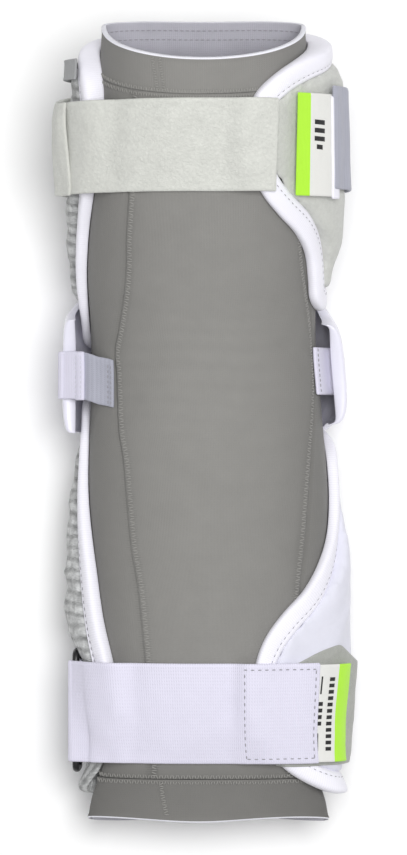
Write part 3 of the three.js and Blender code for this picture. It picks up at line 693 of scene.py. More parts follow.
def painted_side_shade_group():
    """Painted shade on the sleeve knit: lighter at the front of the arm and darker towards its sides and the
    wrist, standing in for how the light falls.
    """
    made, start, end = group("stretch", [("Place", VECTOR, None)], [("Shade", FLOAT)])
    # Painted highlight at the front and painted shade at the sides and wrist, by place on the arm.
    half_width, side_dark, front = 0.052, -0.3, 1.09
    split = node(made, "SeparateXYZ", {0: start.outputs["Place"]})
    aside = maths(made, "DIVIDE", maths(made, "ABSOLUTE", split.outputs["X"]), half_width)
    across = maths(made, "MULTIPLY", maths(made, "POWER", aside, 2.0), side_dark)
    wrist = remap(
        made, split.outputs["Y"], (-0.196, -0.17), (0.79, 1.0), interpolation_type="SMOOTHSTEP"
    )
    shade = maths(made, "MULTIPLY", maths(made, "ADD", across, front), wrist)
    made.links.new(shade, end.inputs["Shade"])
    return made


def pile_group():
    """Short brushed hairs: a fine tangle of height and shade."""
    made, start, end = group(
        "brushed_pile",
        [("Place", VECTOR, None), ("Size", FLOAT, 0.0012)],
        [("Height", FLOAT), ("Shade", FLOAT)],
    )
    place = start.outputs["Place"]
    scale = maths(made, "DIVIDE", 1.0, start.outputs["Size"])
    tangle = {"Vector": place, "Scale": scale, "Detail": 4.0, "Roughness": 0.7, "Distortion": 1.2}
    curls = node(made, "TexNoise", tangle)
    tufts = node(made, "TexVoronoi", {"Vector": place, "Scale": maths(made, "MULTIPLY", scale, 0.55)})
    sunk = maths(made, "MULTIPLY", tufts.outputs["Distance"], 0.35)
    summed = maths(made, "SUBTRACT", curls.outputs[0], sunk)
    made.links.new(summed, end.inputs["Height"])
    made.links.new(remap(made, summed, (0.0, 0.7), (0.9, 1.06)), end.inputs["Shade"])
    return made


def ribs_and_groove_shade_group():
    """Sewn ribs across the cloth, broken up a little, with painted shade darkening their grooves."""
    made, start, end = group(
        "sewn_ribs",
        [("Cloth", VECTOR, None), ("Pitch", FLOAT, 0.0053)],
        [("Shade", FLOAT), ("Height", FLOAT)],
    )
    split = node(made, "SeparateXYZ", {0: start.outputs["Cloth"]})
    drift = node(made, "TexNoise", {"Vector": start.outputs["Cloth"], "Scale": 90.0, "Detail": 2.0})
    turns = maths(made, "DIVIDE", split.outputs["Y"], start.outputs["Pitch"])
    turns = maths(made, "ADD", turns, maths(made, "MULTIPLY", drift.outputs[0], 0.9))
    wave = maths(made, "COSINE", maths(made, "MULTIPLY", turns, 2 * math.pi))
    raised = maths(made, "ADD", maths(made, "MULTIPLY", wave, 0.5), 0.5)
    deep = maths(made, "POWER", raised, 3.0)
    made.links.new(maths(made, "SUBTRACT", 1.0, deep), end.inputs["Height"])
    # Painted shade: the grooves between the ribs darkened by up to a third.
    made.links.new(remap(made, deep, (0.0, 1.0), (1.04, 0.66)), end.inputs["Shade"])
    return made


GROUPS = {
    "threads": weave_group,
    "mottle": mottle_group,
    "brushed_pile": pile_group,
    "sewn_ribs": ribs_and_groove_shade_group,
    "stretch": painted_side_shade_group,
}


def use(tree, name, inputs):
    """Puts a shared pattern group into a material."""
    made = tree.nodes.new("ShaderNodeGroup")
    made.node_tree = bpy.data.node_groups.get(name) or GROUPS[name]()
    for key, value in inputs.items():
        if isinstance(value, bpy.types.NodeSocket):
            tree.links.new(value, made.inputs[key])
        else:
            made.inputs[key].default_value = value
    return made


def tint(tree, color, *shades):
    """The colour made lighter and darker by each shade."""
    result = None
    for shade in shades:
        mixed = node(tree, "VectorMath", {0: result or color[:3], 1: (1, 1, 1)}, operation="MULTIPLY")
        tree.links.new(shade, mixed.inputs[1])
        result = mixed.outputs[0]
    return result


def surface(name, roughness, sheen=0.0, coat=0.0):
    """A new material with its shader and the places that patterns use."""
    made = bpy.data.materials.new(name + "_finish")
    made.use_nodes = True
    tree = made.node_tree
    tree.nodes.clear()
    end = tree.nodes.new("ShaderNodeOutputMaterial")
    look = {"Roughness": roughness, "Sheen Weight": sheen, "Coat Weight": coat}
    shader = node(tree, "BsdfPrincipled", look)
    if sheen:
        shader.inputs["Sheen Roughness"].default_value = 0.5
    tree.links.new(shader.outputs[0], end.inputs[0])
    place = node(tree, "TexCoord").outputs["Object"]
    cloth = node(tree, "UVMap", uv_map="cloth").outputs[0]
    return made, tree, shader, place, cloth


def raise_by(tree, shader, height, distance, before=None):
    """Raises a surface by a height pattern, over the one before it."""
    bump = node(tree, "Bump", {"Height": height, "Distance": distance, "Strength": 1.0})
    if before:
        tree.links.new(before, bump.inputs["Normal"])
    tree.links.new(bump.outputs[0], shader.inputs["Normal"])
    return bump.outputs[0]


def linear(color):
    """A colour picked on screen, as the light that a shader works with."""
    return [c / 12.92 if c <= 0.04045 else ((c + 0.055) / 1.055) ** 2.4 for c in color[:3]]


def color_of(name):
    return tuple(getattr(bpy.context.scene.arm_guard_colors, name))


def woven(name, color, across, along, relief, mottle=0.04, roughness=0.85, sheen=0.15, side_shaded=False):
    """Cloth with threads at two pitches, in metres."""
    made, tree, shader, place, cloth = surface(name, roughness, sheen)
    threads = use(tree, "threads", {"Cloth": cloth, "Across": across, "Along": along})
    uneven = use(tree, "mottle", {"Place": place, "Size": 0.012, "Strength": mottle})
    shades = [threads.outputs["Shade"], uneven.outputs["Shade"]]
    # Painted shade: the sleeve knit darkened towards its sides and the wrist, lightened at the front.
    if side_shaded:
        shades.append(use(tree, "stretch", {"Place": place}).outputs["Shade"])
    shaded = tint(tree, linear(color_of(color)), *shades)
    tree.links.new(shaded, shader.inputs["Base Color"])
    first = raise_by(tree, shader, threads.outputs["Height"], relief)
    raise_by(tree, shader, uneven.outputs["Height"], 0.0004, first)
    return made


def brushed(name, color, size, relief):
    """Loop cloth with a brushed pile."""
    made, tree, shader, place, _ = surface(name, 0.95, 0.3)
    pile = use(tree, "brushed_pile", {"Place": place, "Size": size})
    uneven = use(tree, "mottle", {"Place": place, "Size": 0.009, "Strength": 0.05})
    shaded = tint(tree, linear(color_of(color)), pile.outputs["Shade"], uneven.outputs["Shade"])
    tree.links.new(shaded, shader.inputs["Base Color"])
    raise_by(tree, shader, pile.outputs["Height"], relief)
    return made


def moulded(name, color, roughness, coat):
    """Moulded plastic with a slightly uneven gloss."""
    made, tree, shader, place, _ = surface(name, roughness, 0.0, coat)
    uneven = use(tree, "mottle", {"Place": place, "Size": 0.03, "Strength": 0.02})
    grain = use(tree, "mottle", {"Place": place, "Size": 0.0012, "Strength": 0.01})
    shaded = tint(tree, linear(color_of(color)), uneven.outputs["Shade"], grain.outputs["Shade"])
    tree.links.new(shaded, shader.inputs["Base Color"])
    gloss = (roughness - 0.05, roughness + 0.06)
    rough = remap(tree, uneven.outputs["Shade"], (0.95, 1.05), gloss)
    tree.links.new(rough, shader.inputs["Roughness"])
    raise_by(tree, shader, grain.outputs["Height"], 0.00004)
    return made


def pad_cloth(name, back, wing, wing_brushed):
    """A pad's cover: ribbed, with painted shade in the rib grooves, and mottled at the back and left, another
    cloth on the wing.
    """
    made, tree, shader, place, cloth = surface(name, 0.82, 0.25)
    threads = use(tree, "threads", {"Cloth": cloth, "Across": 0.0024, "Along": 0.0012})
    uneven = use(tree, "mottle", {"Place": place, "Size": 0.0045, "Strength": 0.42})
    sewn = use(tree, "sewn_ribs", {"Cloth": cloth})
    soft = use(tree, "mottle", {"Place": place, "Size": 0.012, "Strength": 0.04})
    # The back's colour includes the painted shade of the rib grooves.
    back_shades = [part.outputs["Shade"] for part in (threads, uneven, sewn)]
    outer = tint(tree, linear(color_of(back)), *back_shades)
    pile = use(tree, "brushed_pile", {"Place": place, "Size": 0.0011})
    wing_shades = [part.outputs["Shade"] for part in ((soft, pile) if wing_brushed else (soft,))]
    face = tint(tree, linear(color_of(wing)), *wing_shades)
    mask = node(tree, "Attribute", attribute_name="wing").outputs["Fac"]
    mixed = node(tree, "Mix", {"Factor": mask, 6: outer, 7: face}, data_type="RGBA")
    tree.links.new(mixed.outputs[2], shader.inputs["Base Color"])
    bare = maths(tree, "SUBTRACT", 1.0, mask)
    deep = raise_by(tree, shader, maths(tree, "MULTIPLY", sewn.outputs["Height"], bare), 0.0006)
    first = raise_by(tree, shader, maths(tree, "MULTIPLY", threads.outputs["Height"], bare), 0.0002, deep)
    hairs = pile.outputs["Height"] if wing_brushed else soft.outputs["Height"]
    raise_by(tree, shader, maths(tree, "MULTIPLY", hairs, mask), 0.0004, first)
    return made


# Each colour's label and its value as it looks on screen
COLORS = {
    "sleeve": ("Sleeve knit", (0.52, 0.515, 0.503)),
    "lining": ("Sleeve lining", (0.71, 0.705, 0.74)),
    "cut_edge": ("Cut edges", (0.93, 0.93, 0.96)),
    "pad": ("Pad cover", (0.72, 0.725, 0.725)),
    "pad_wing": ("Bicep pad wing", (0.79, 0.795, 0.775)),
    "forearm_wing": ("Forearm pad wing", (0.86, 0.86, 0.905)),
    "binding": ("Edge binding", (0.95, 0.945, 0.98)),
    "cap": ("Elbow cap", (0.89, 0.885, 0.935)),
    "elastic": ("Strap elastic", (0.875, 0.865, 0.93)),
    "webbing": ("Anchor webbing", (0.665, 0.67, 0.72)),
    "keeper": ("Keeper webbing", (0.62, 0.625, 0.63)),
    "loop": ("Loop strap", (0.845, 0.85, 0.825)),
    "label": ("Labels", (0.89, 0.89, 0.875)),
    "lime": ("Label stripe", (0.7, 0.94, 0.2)),
    "mark": ("Printed bars", (0.09, 0.09, 0.095)),
    "ring": ("Strap ring", (0.07, 0.07, 0.075)),
    "patch": ("Loop patch", (0.665, 0.67, 0.65)),
    "thread_pale": ("Pale thread", (0.82, 0.82, 0.86)),
    "thread_grey": ("Seam thread", (0.59, 0.585, 0.57)),
    "thread_dark": ("Tape thread", (0.6, 0.595, 0.62)),
}

THREAD = {"across": 0.0003, "along": 0.0006, "relief": 0.00003}
TAPE_WEAVE = {"across": 0.0007, "along": 0.0007, "relief": 0.00005}

# Each finish: how it is made, its colour and its look, with pitches and reliefs in metres
FINISHES = {
    # The sleeve knit carries painted shade at its sides and the wrist and a painted highlight at the front.
    "sleeve_knit": (woven, "sleeve", {
        "across": 0.0009, "along": 0.0011, "relief": 0.00006,
        "mottle": 0.035, "roughness": 0.88, "sheen": 0.1, "side_shaded": True,
    }),
    "lining_knit": (woven, "lining", {"across": 0.0012, "along": 0.0012, "relief": 0.0001, "mottle": 0.05}),
    "cut_edge": (woven, "cut_edge", {"across": 0.0008, "along": 0.0008, "relief": 0.00008}),
    "bicep_cover": (pad_cloth, "pad", {"wing": "pad_wing", "wing_brushed": True}),
    "forearm_cover": (pad_cloth, "pad", {"wing": "forearm_wing", "wing_brushed": False}),
    "binding_tape": (woven, "binding", {
        "across": 0.0009, "along": 0.0009, "relief": 0.00005, "mottle": 0.015, "roughness": 0.6,
    }),
    "cap_plastic": (moulded, "cap", {"roughness": 0.3, "coat": 0.3}),
    "strap_elastic": (woven, "elastic", {
        "across": 0.0011, "along": 0.0016, "relief": 0.00009, "mottle": 0.02,
    }),
    "anchor_webbing": (woven, "webbing", {
        "across": 0.0024, "along": 0.001, "relief": 0.0001, "mottle": 0.04,
    }),
    "keeper_webbing": (woven, "keeper", {
        "across": 0.0016, "along": 0.001, "relief": 0.00015, "mottle": 0.05,
    }),
    "strap_loop": (brushed, "loop", {"size": 0.0011, "relief": 0.0005}),
    "loop_patch": (brushed, "patch", {"size": 0.0014, "relief": 0.0006}),
    "label_tape": (woven, "label", {**TAPE_WEAVE, "mottle": 0.01, "roughness": 0.65}),
    "lime_stripe": (woven, "lime", {**TAPE_WEAVE, "mottle": 0.015, "roughness": 0.6}),
    "printed_mark": (woven, "mark", {**TAPE_WEAVE, "relief": 0.00003, "mottle": 0.02, "roughness": 0.6}),
    "ring_plastic": (moulded, "ring", {"roughness": 0.42, "coat": 0.1}),
    "thread_pale": (woven, "thread_pale", THREAD),
    "thread_grey": (woven, "thread_grey", THREAD),
    "thread_dark": (woven, "thread_dark", THREAD),
}


def finish_of(name):
    """The named finish, made the first time that it is asked for."""
    found = bpy.data.materials.get(name + "_finish")
    if found:
        return found
    maker, color, look = FINISHES[name]
    return maker(name, color, **look)


# Sleeve

SLEEVE_ROWS = 230
PANEL_COLUMNS = (13, 52, 16)  # across the left front, the back and the right front
SEAM_OFFSETS = (-7, -5.2, -4.3, -3.4, -2.4, -1.5, -0.8, 0, 0.8, 1.6, 3)  # columns along a seam
SEAM_REACH = 9
RIDGE = {"height": 0.4, "width": 5, "turn": 0.9}
GROOVE = {"depth": 0.95, "place": 0.3, "width": 0.75}
BICEP_HEM = 21
WRIST_HEM = 20.5
RIM_DIP = 4
CUFF_COLUMNS, CUFF_ROWS = 140, 26
CUFF_CLOTH = (0.29, 0.021)
CUT_EDGE_FROM = 0.965  # share of a hem's height from which the pale cut edge shows


def sizes():
    return bpy.context.scene.arm_guard_sizes


def piece(name):
    return bpy.data.objects[name]


@lru_cache(maxsize=None)
def sleeve_angles(t):
    """Angles of the sleeve's columns, close together along the two seams."""
    left, right = seam("left", t), seam("right", t)
    near = [offset * DEGREES_PER_MM for offset in SEAM_OFFSETS]
    front_left, back, front_right = PANEL_COLUMNS
    return (
        spread(-180, left + near[0], front_left)[:-1]
        + [left + a for a in near]
        + spread(left + near[-1], right - near[-1], back)[1:-1]
        + [right - a for a in reversed(near)]
        + spread(right - near[0], 180, front_right)[1:]
    )


def seam_relief(d):
    """Raised stitched band on the front side of a seam, with a groove on the other."""
    band = ease((d + RIDGE["width"]) / RIDGE["turn"]) * ease(-d / RIDGE["turn"])
    return RIDGE["height"] * band - GROOVE["depth"] * bump_at(d, GROOVE["place"], GROOVE["width"])


def soft_noise(t, angle, round_scale, long_scale, seed=0.0):
    """Smooth noise on the arm that meets itself once round it."""
    a = math.radians(angle)
    place = Vector((math.sin(a) * round_scale, math.cos(a) * round_scale, t * long_scale + seed))
    return noise.noise(place)


def wrinkles(t, angle):
    """Faint stretch wrinkles across the inner side of the elbow."""
    height, turns, middle, reach = 0.16, 0.62, 2, 34
    front = ease((abs(angle) - 105) / 40)
    drift = 0.9 * math.sin(math.radians(angle) * 3) + 1.5 * soft_noise(t, angle, 1.2, 0.03)
    return front * height * math.sin(t * turns + drift) * bump_at(t, middle, reach)


def sleeve_relief(t, angle):
    left = (angle - seam("left", t)) / DEGREES_PER_MM
    right = (seam("right", t) - angle) / DEGREES_PER_MM
    relief = wrinkles(t, angle) + 0.35 * soft_noise(t, angle, 1.8, 0.022, 3)
    for d in (left, right):
        if abs(d) < SEAM_REACH:
            relief += seam_relief(d)
    return relief


def inner_face(centre):
    """1 for a face of a slab on the side of the arm, 0 for the others."""
    return 1 if centre.z < 0.01 else 0


def build_sleeve():
    """Knit tube between the two hem bands, with its lining."""
    low, high = -FOREARM + WRIST_HEM + FIT, UPPER - BICEP_HEM - FIT
    count = len(sleeve_angles(0)) - 1
    girth = 0.92 * math.pi * WIDTH * MM
    end_fades = 30  # the relief fades out over the last 1 in 30 of the length
    bm = slab(count, SLEEVE_ROWS)

    def shape(u, v, w):
        t = lerp(low, high, v)
        angle = sleeve_angles(t)[round(u * count)]
        fade = ease(v * end_fades) * ease((1 - v) * end_fades)
        return wrap(t, angle, sleeve_relief(t, angle) * fade * w - WALL * (1 - w))

    place_slab(bm, shape, (girth, (high - low) * MM), inner_face, round_x=True)
    knits = ["sleeve_knit", "lining_knit"]
    obj = make(bm, "sleeve_body", knits, ["sleeve_back", "sleeve_front"])


def seam_path(side, low, high, offset, lift):
    """Path beside a seam, offset in millimetres towards the back."""
    path = []
    for t in spread(low, high, 260):
        shift = offset * DEGREES_PER_MM * (1 if side == "left" else -1)
        angle = seam(side, t) + shift
        path.append((wrap(t, angle, lift), normal_at(t, angle)))
    return path


def ring_path(place, lift):
    """Path once round the arm. place gives the place along it at each angle."""
    path = []
    for angle in spread(-180, 180, 200):
        t = place(angle)
        path.append((wrap(t, angle, lift), normal_at(t, angle)))
    return path


def cross_path(low, high, first, last):
    """Path along the arm that leans from one angle to another."""
    path = []
    for share in spread(0, 1, 40):
        t, angle = lerp(low, high, share), lerp(first, last, share)
        path.append((wrap(t, angle, 0.45), normal_at(t, angle)))
    return path


def bicep_rim(angle):
    """Place of the bicep end's rim, cut lower at the inner side and the back."""
    front = max(-math.cos(math.radians(angle)), 0) ** 1.5
    back = max(math.cos(math.radians(angle)), 0) ** 1.5
    return UPPER - RIM_DIP * (front + back / 2)


def upper_span(angle):
    return UPPER - BICEP_HEM, bicep_rim(angle)


def wrist_span(angle):
    return -FOREARM + WRIST_HEM, -FOREARM


def build_cuff(name, node_name, span, wavy, edge_wave):
    """A hem band. Its last rows, at the rim, show the pale cut edge."""

    def shape(u, v, w):
        angle = 360 * u - 180
        start, end = span(angle)
        t = lerp(start, end, v)
        t += edge_wave * ease((v - 0.3) / 0.7) * math.sin(math.radians(3 * angle + 70))
        lip = 0.35 * ease((v - 0.86) / 0.1) - 0.5 * ease((v - 0.96) / 0.04) * (2 * w - 1)
        seam_side = 0.45 * bump_at(v, 0.02, 0.03)
        fold = wavy * soft_noise(v, angle, 2.2, 1)
        return wrap(t, angle, fold + (lip + seam_side) * w - WALL * (1 - w))

    def paint(centre):
        if inner_face(centre):
            return 1
        return 2 if centre.y > CUT_EDGE_FROM else 0

    bm = slab(CUFF_COLUMNS, CUFF_ROWS)
    place_slab(bm, shape, CUFF_CLOTH, paint, round_x=True)
    return make(bm, name, ["sleeve_knit", "lining_knit", "cut_edge"], [node_name])


def build_cuffs():
    upper = build_cuff("upper_cuff", "bicep_cuff", upper_span, 0.25, 0.0)
    lower = build_cuff("wrist_cuff", "forearm_cuff", wrist_span, 0.35, 1.1)


def build_sleeve_threads():
    """Zigzag seams of the sleeve and its hem bands, and the stitches inside the rim."""
    seam_places = {"upper_cuff_seam": UPPER - BICEP_HEM - 0.2, "wrist_cuff_seam": -FOREARM + WRIST_HEM + 0.1}
    for name, place in seam_places.items():
        for k, shift in enumerate((-1.4, 1.4)):
            level = place + shift

            def same_level(angle):
                return level

            stitches(f"{name}_{k}", ring_path(same_level, 0.35), "cuff")
    low, high = -FOREARM + WRIST_HEM + 1.5, UPPER - BICEP_HEM - 2
    for side in ("left", "right"):
        stitches(side + "_seam_thread", seam_path(side, low, high, -2.7, 0.5), "seam")
    for k, shift in enumerate((-2.2, 2.2)):
        path = cross_path(UPPER - 20, UPPER - 5, -153 + shift, -150 + shift)
        stitches(f"upper_cuff_join_{k}", path, "upper_join")
    stitches("wrist_cuff_join", cross_path(-FOREARM + 19, -FOREARM + 2, -147, -153), "wrist_join")
    for k, down in enumerate((4, 8.5)):

        def below_rim(angle):
            return bicep_rim(angle) - down

        stitches(f"upper_hem_thread_{k}", ring_path(below_rim, -WALL - 0.2), "hem")


# Pads

PAD_LOOKS = {
    "bicep_pad": {
        "piece": "upper_pad", "cover": "bicep_cover", "wing_from": 62, "wing_swell": 1.8,
        "left_swell": 2.0, "tape": "upper_binding", "tape_steps": 260,
    },
    "forearm_pad": {
        "piece": "lower_pad", "cover": "forearm_cover", "wing_from": 58, "wing_swell": 0.3,
        "left_swell": 0.5, "tape": "lower_binding", "tape_steps": 280,
    },
}
RIB = {"pitch": 5.3, "height": 0.5}
CHANNEL_DEPTH = 0.6
SOFT_HEIGHT = 0.35
SWELL_FRAMES = 20


def solid_copy(node_name):
    """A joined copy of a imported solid's mesh."""
    bm = bmesh.new()
    bm.from_mesh(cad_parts[node_name].data)
    bmesh.ops.remove_doubles(bm, verts=bm.verts[:], dist=2e-6)
    return bm


def remeshed(node_name, name, voxel):
    """The solid's shape as an even mesh of small faces."""
    bm = solid_copy(node_name)
    mesh = bpy.data.meshes.new(name)
    bm.to_mesh(mesh)
    bm.free()
    obj = bpy.data.objects.new(name, mesh)
    bpy.context.scene.collection.objects.link(obj)
    made = obj.modifiers.new("even", "REMESH")
    made.mode = "VOXEL"
    made.voxel_size = voxel
    settle = obj.modifiers.new("settle", "SMOOTH")
    settle.factor = 0.5
    settle.iterations = 3
    bake(obj)
    return obj


def bake(obj):
    """Applies the piece's modifiers to its mesh."""
    depsgraph = bpy.context.evaluated_depsgraph_get()
    done = bpy.data.meshes.new_from_object(obj.evaluated_get(depsgraph))
    obj.modifiers.clear()
    old = obj.data
    obj.data = done
    bpy.data.meshes.remove(old)


def inflate(obj, held, pressure, most):
    """Lets the cover swell like foam under it. held is each point's pin weight from 0 to 1,
    and no point moves further than most, in metres."""
    before = [v.co.copy() for v in obj.data.vertices]
    pins = obj.vertex_groups.new(name="sewn_down")
    for i, weight in enumerate(held):
        pins.add([i], weight, "REPLACE")
    made = obj.modifiers.new("cover", "CLOTH")
    made.settings.quality = 5
    made.settings.mass = 0.2
    made.settings.tension_stiffness = 12
    made.settings.compression_stiffness = 12
    made.settings.bending_stiffness = 0.6
    made.settings.use_pressure = True
    made.settings.uniform_pressure_force = pressure
    made.settings.effector_weights.gravity = 0
    made.settings.vertex_group_mass = pins.name
    made.collision_settings.use_collision = False
    made.point_cache.frame_start = 1
    made.point_cache.frame_end = SWELL_FRAMES
    for number in range(1, SWELL_FRAMES + 1):
        bpy.context.scene.frame_set(number)
        bpy.context.view_layer.update()
    bake(obj)
    bpy.context.scene.frame_set(1)
    for vert, start in zip(obj.data.vertices, before):
        move = vert.co - start
        if move.length > most:
            vert.co = start + move.normalized() * most
    obj.vertex_groups.clear()


def channel_wave(t):
    """1 on a sewn channel, 0 between two."""
    pitch = sizes().channel_pitch / MM
    return (0.5 + 0.5 * math.cos(2 * math.pi * t / pitch)) ** 6


def pin_weight(t, lift, near, rear):
    """How firmly a point of the cover is held: at its edge, its underside and its channels."""
    at_edge = 1 - ease((near - 1.5) / 4)
    below = 1 - ease((lift - 3) / 2)
    return clamp(max(at_edge, below, channel_wave(t) * rear))


def map_cover(mesh, places, wing_from):
    """Writes the cover's cloth map, in metres, and the mask of its wing."""
    cloth = mesh.uv_layers.new(name="cloth")
    for loop in mesh.loops:
        t, angle, _ = places[loop.vertex_index]
        cloth.data[loop.index].uv = (angle / DEGREES_PER_MM * MM, t * MM)
    wing = mesh.attributes.new("wing", "FLOAT", "POINT")
    wing.data.foreach_set("value", [ease((angle - wing_from) / 5) for _, angle, _ in places])


def cover_noise(t, angle, round_scale, long_scale, seed):
    return noise.noise(Vector((angle * round_scale, t * long_scale, seed)))


def cover_relief(t, angle, rear, look):
    """How far the cover stands out: ribbed and full at the back and left, soft on the wing."""
    drift = 2.2 * cover_noise(t, angle, 0.05, 0.03, 1)
    ripple = math.sin(2 * math.pi * t / RIB["pitch"] + drift)
    uneven = 0.6 + 0.6 * cover_noise(t, angle, 0.09, 0.05, 7)
    ribs = RIB["height"] * ripple * uneven + sizes().pad_fullness / MM
    soft = SOFT_HEIGHT * cover_noise(t, angle, 0.06, 0.05, 5)
    right = ease((angle - 50) / 25) * ease((128 - angle) / 20)
    left = ease((-angle - 55) / 25) * ease((110 - t) / 30) * ease((t + 190) / 30)
    quilted = rear * (ribs - CHANNEL_DEPTH * channel_wave(t))
    return quilted + soft * (1 - 0.6 * rear) + look["wing_swell"] * right + look["left_swell"] * left


def build_pad(node_name):
    """Foam pad: an even mesh of the solid, swollen between its sewn channels, then puckered."""
    look = PAD_LOOKS[node_name]
    tape = Stack(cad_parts[node_name + "_binding"])
    obj = remeshed(node_name, look["piece"], sizes().pad_mesh)
    places = [locate(v.co) for v in obj.data.vertices]
    edge = [tape.nearest(v.co) / MM for v in obj.data.vertices]
    back = [1 - ease((angle - look["wing_from"] + 35) / 30) for _, angle, _ in places]
    held = [
        pin_weight(t, lift, near, rear)
        for (t, _, lift), near, rear in zip(places, edge, back)
    ]
    inflate(obj, held, sizes().pad_pressure, sizes().pad_swell)
    mesh = obj.data
    map_cover(mesh, places, look["wing_from"])
    normals = [v.normal.copy() for v in mesh.vertices]
    for vert, normal, (t, angle, lift), near, rear in zip(mesh.vertices, normals, places, edge, back):
        if lift < 2.5 or vert.co.z < 0.0008:
            continue
        free = ease((near - 0.8) / 3) * ease((lift - 2.5) / 2)
        vert.co += normal * (MM * free * cover_relief(t, angle, rear, look))
    for vert in mesh.vertices:
        vert.co.z = max(vert.co.z, 0.0)
    dress(obj, look["cover"], [node_name], levels=1)


# Section of a folded edge tape, as inset from the pad's edge and height, each as a share of
# the tape's width and thickness: at the left with a raised fold, and at the right flush
TAPE = (
    (0.04, -0.12, 0.04, -0.12), (0.0, 0.3, 0.0, 0.3), (0.01, 0.6, 0.01, 0.6),
    (0.06, 0.82, 0.06, 0.82), (0.15, 0.94, 0.15, 0.95), (0.3, 0.99, 0.3, 1.0),
    (0.52, 1.0, 0.5, 1.01), (0.72, 0.98, 0.7, 1.0), (0.8, 0.93, 0.82, 0.97),
    (0.85, 0.86, 0.87, 0.92), (0.89, 0.92, 0.92, 0.95), (0.96, 1.02, 1.0, 0.95),
    (1.04, 0.97, 1.12, 0.84), (1.09, 0.7, 1.2, 0.6), (1.06, 0.1, 1.1, 0.1),
    (0.7, 0.0, 0.7, 0.0), (0.35, -0.08, 0.35, -0.08), (0.12, -0.14, 0.12, -0.14),
)
TAPE_MIDDLE = 0.55
TAPE_THREAD = (0.84, 0.93)  # place of its stitches in that section
TAPE_LEAST = 3  # thickness
BARE_TOP = 4.5  # height where the solid tape isn't found


def tape_heights(pad, node_name, points, inwards, wide):
    """Height of the tape's top, from the solid, and of its underside along the edge."""
    solid = Stack(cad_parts[node_name])
    tops, bases = [], []
    for p, way in zip(points, inwards):
        q = p + way * wide * TAPE_MIDDLE
        top = solid.top(q.y, q.x * DEGREES_PER_MM, 30)
        tops.append(top if top > 1 else BARE_TOP)
        share = (q.y - pad["start"]) / pad["reach"]
        bases.append(SEAT + pad["flare"] * ease((share - 0.9) / 0.1))
    return smooth_ring(tops, 6), bases


def build_binding(pad_name):
    """Tape folded round a pad's edge, with its stitches along the inner side."""
    pad, look = PADS[pad_name], PAD_LOOKS[pad_name]
    steps, node_name = look["tape_steps"], pad_name + "_binding"
    points, inwards = edge_curve(pad, steps)
    wide = sizes().binding / MM
    tops, bases = tape_heights(pad, node_name, points, inwards, wide)

    def spot(k, inset, height):
        k %= steps
        q = points[k] + inwards[k] * wide * inset
        lift = lerp(bases[k], max(tops[k], bases[k] + TAPE_LEAST), height)
        return wrap(q.y, q.x * DEGREES_PER_MM, lift)

    def shape(u, v, w):
        k = round(u * steps) % steps
        inset, height, flush_inset, flush_height = TAPE[round(v * len(TAPE)) % len(TAPE)]
        right = ease(points[k].x * DEGREES_PER_MM / 40)
        return spot(k, lerp(inset, flush_inset, right), lerp(height, flush_height, right))

    def paint(centre):
        q = points[int(centre.x * steps) % steps]
        under_strap = q.y < -176 and q.x * DEGREES_PER_MM < -60
        return 1 if pad_name == "forearm_pad" and under_strap else 0

    bm = slab(steps, len(TAPE), solid=False)
    place_slab(bm, shape, (0.6, 0.03), paint, round_x=True, round_y=True)
    make(bm, look["tape"], ["binding_tape", "bicep_cover"], [node_name], levels=1)
    path = []
    for k in range(steps + 1):
        q = points[k % steps]
        path.append((spot(k, *TAPE_THREAD), normal_at(q.y, q.x * DEGREES_PER_MM)))
    stitches(look["tape"] + "_thread", path, "binding")


# Elbow

CAP_LINES = (
    -97, -95.8, -94, -92, -90.6, -86.2, -84.5, -80, -74, -66, -57, -48, -39, -30, -21, -12, -4,
    4, 12, 21, 30, 39, 48, 57, 66, 74, 80, 84.5, 86.2, 90.6, 92, 94, 95.8, 97,
)
CAP_SHARES = (
    -1, -0.985, -0.94, -0.86, -0.75, -0.63, -0.53, -0.48, -0.35, -0.2, 0,
    0.2, 0.35, 0.48, 0.53, 0.63, 0.75, 0.86, 0.94, 0.985, 1,
)
SLOT_LINES = (-90.6, 86.2)
SLOT_SHARES = (-0.54, 0.52)
ELASTIC = {"thickness": 1.5, "width": 22.5, "from": -11.4}
LOOP_HEM = {"angle": -107, "lift": SEAT + 6}
# Angle and lift of the tabs' and the hem's middle, from one end to the other
LEFT_TAB = ((-105, 6.9), (-108.5, 5.4), (-111, 4.0), (-113, 2.6), (-118, 1.1), (-122, 1.05))
LEFT_TAB_SLANT = -4.2
LEFT_HEM = ((-102.4, 8.6), (-104.6, 8.6), (-106.4, 7.9), (-107.6, 6.9))
RIGHT_TAB = ((106, 1.2), (103, 1.5), (100, 1.9), (95, 3.1), (89, 5.3), (83, 6.7), (75, 7.3), (67, 7.3))


def build_cap():
    """Moulded shell with a slot along each side, under the bars of its rim."""
    columns, rows = len(CAP_LINES) - 1, len(CAP_SHARES) - 1

    def in_slot(centre):
        share = CAP_SHARES[int(centre.y * rows)]
        within = SLOT_SHARES[0] < share < SLOT_SHARES[1]
        return CAP_LINES[int(centre.x * columns)] in SLOT_LINES and within

    def shape(u, v, w):
        angle = CAP_LINES[round(u * columns)]
        share = CAP_SHARES[round(v * rows)]
        half, middle, _, _ = cap_side(angle)
        outer, inner = cap_lift(angle, share)
        return wrap(middle + share * half, angle, lerp(inner, outer, w), CAP_WALL if w < 0.5 else 0)

    bm = slab(columns, rows, holes=in_slot)
    place_slab(bm, shape, (0.2, 0.07))
    make(bm, "elbow_shell", "cap_plastic", ["elbow_cap"], levels=2)


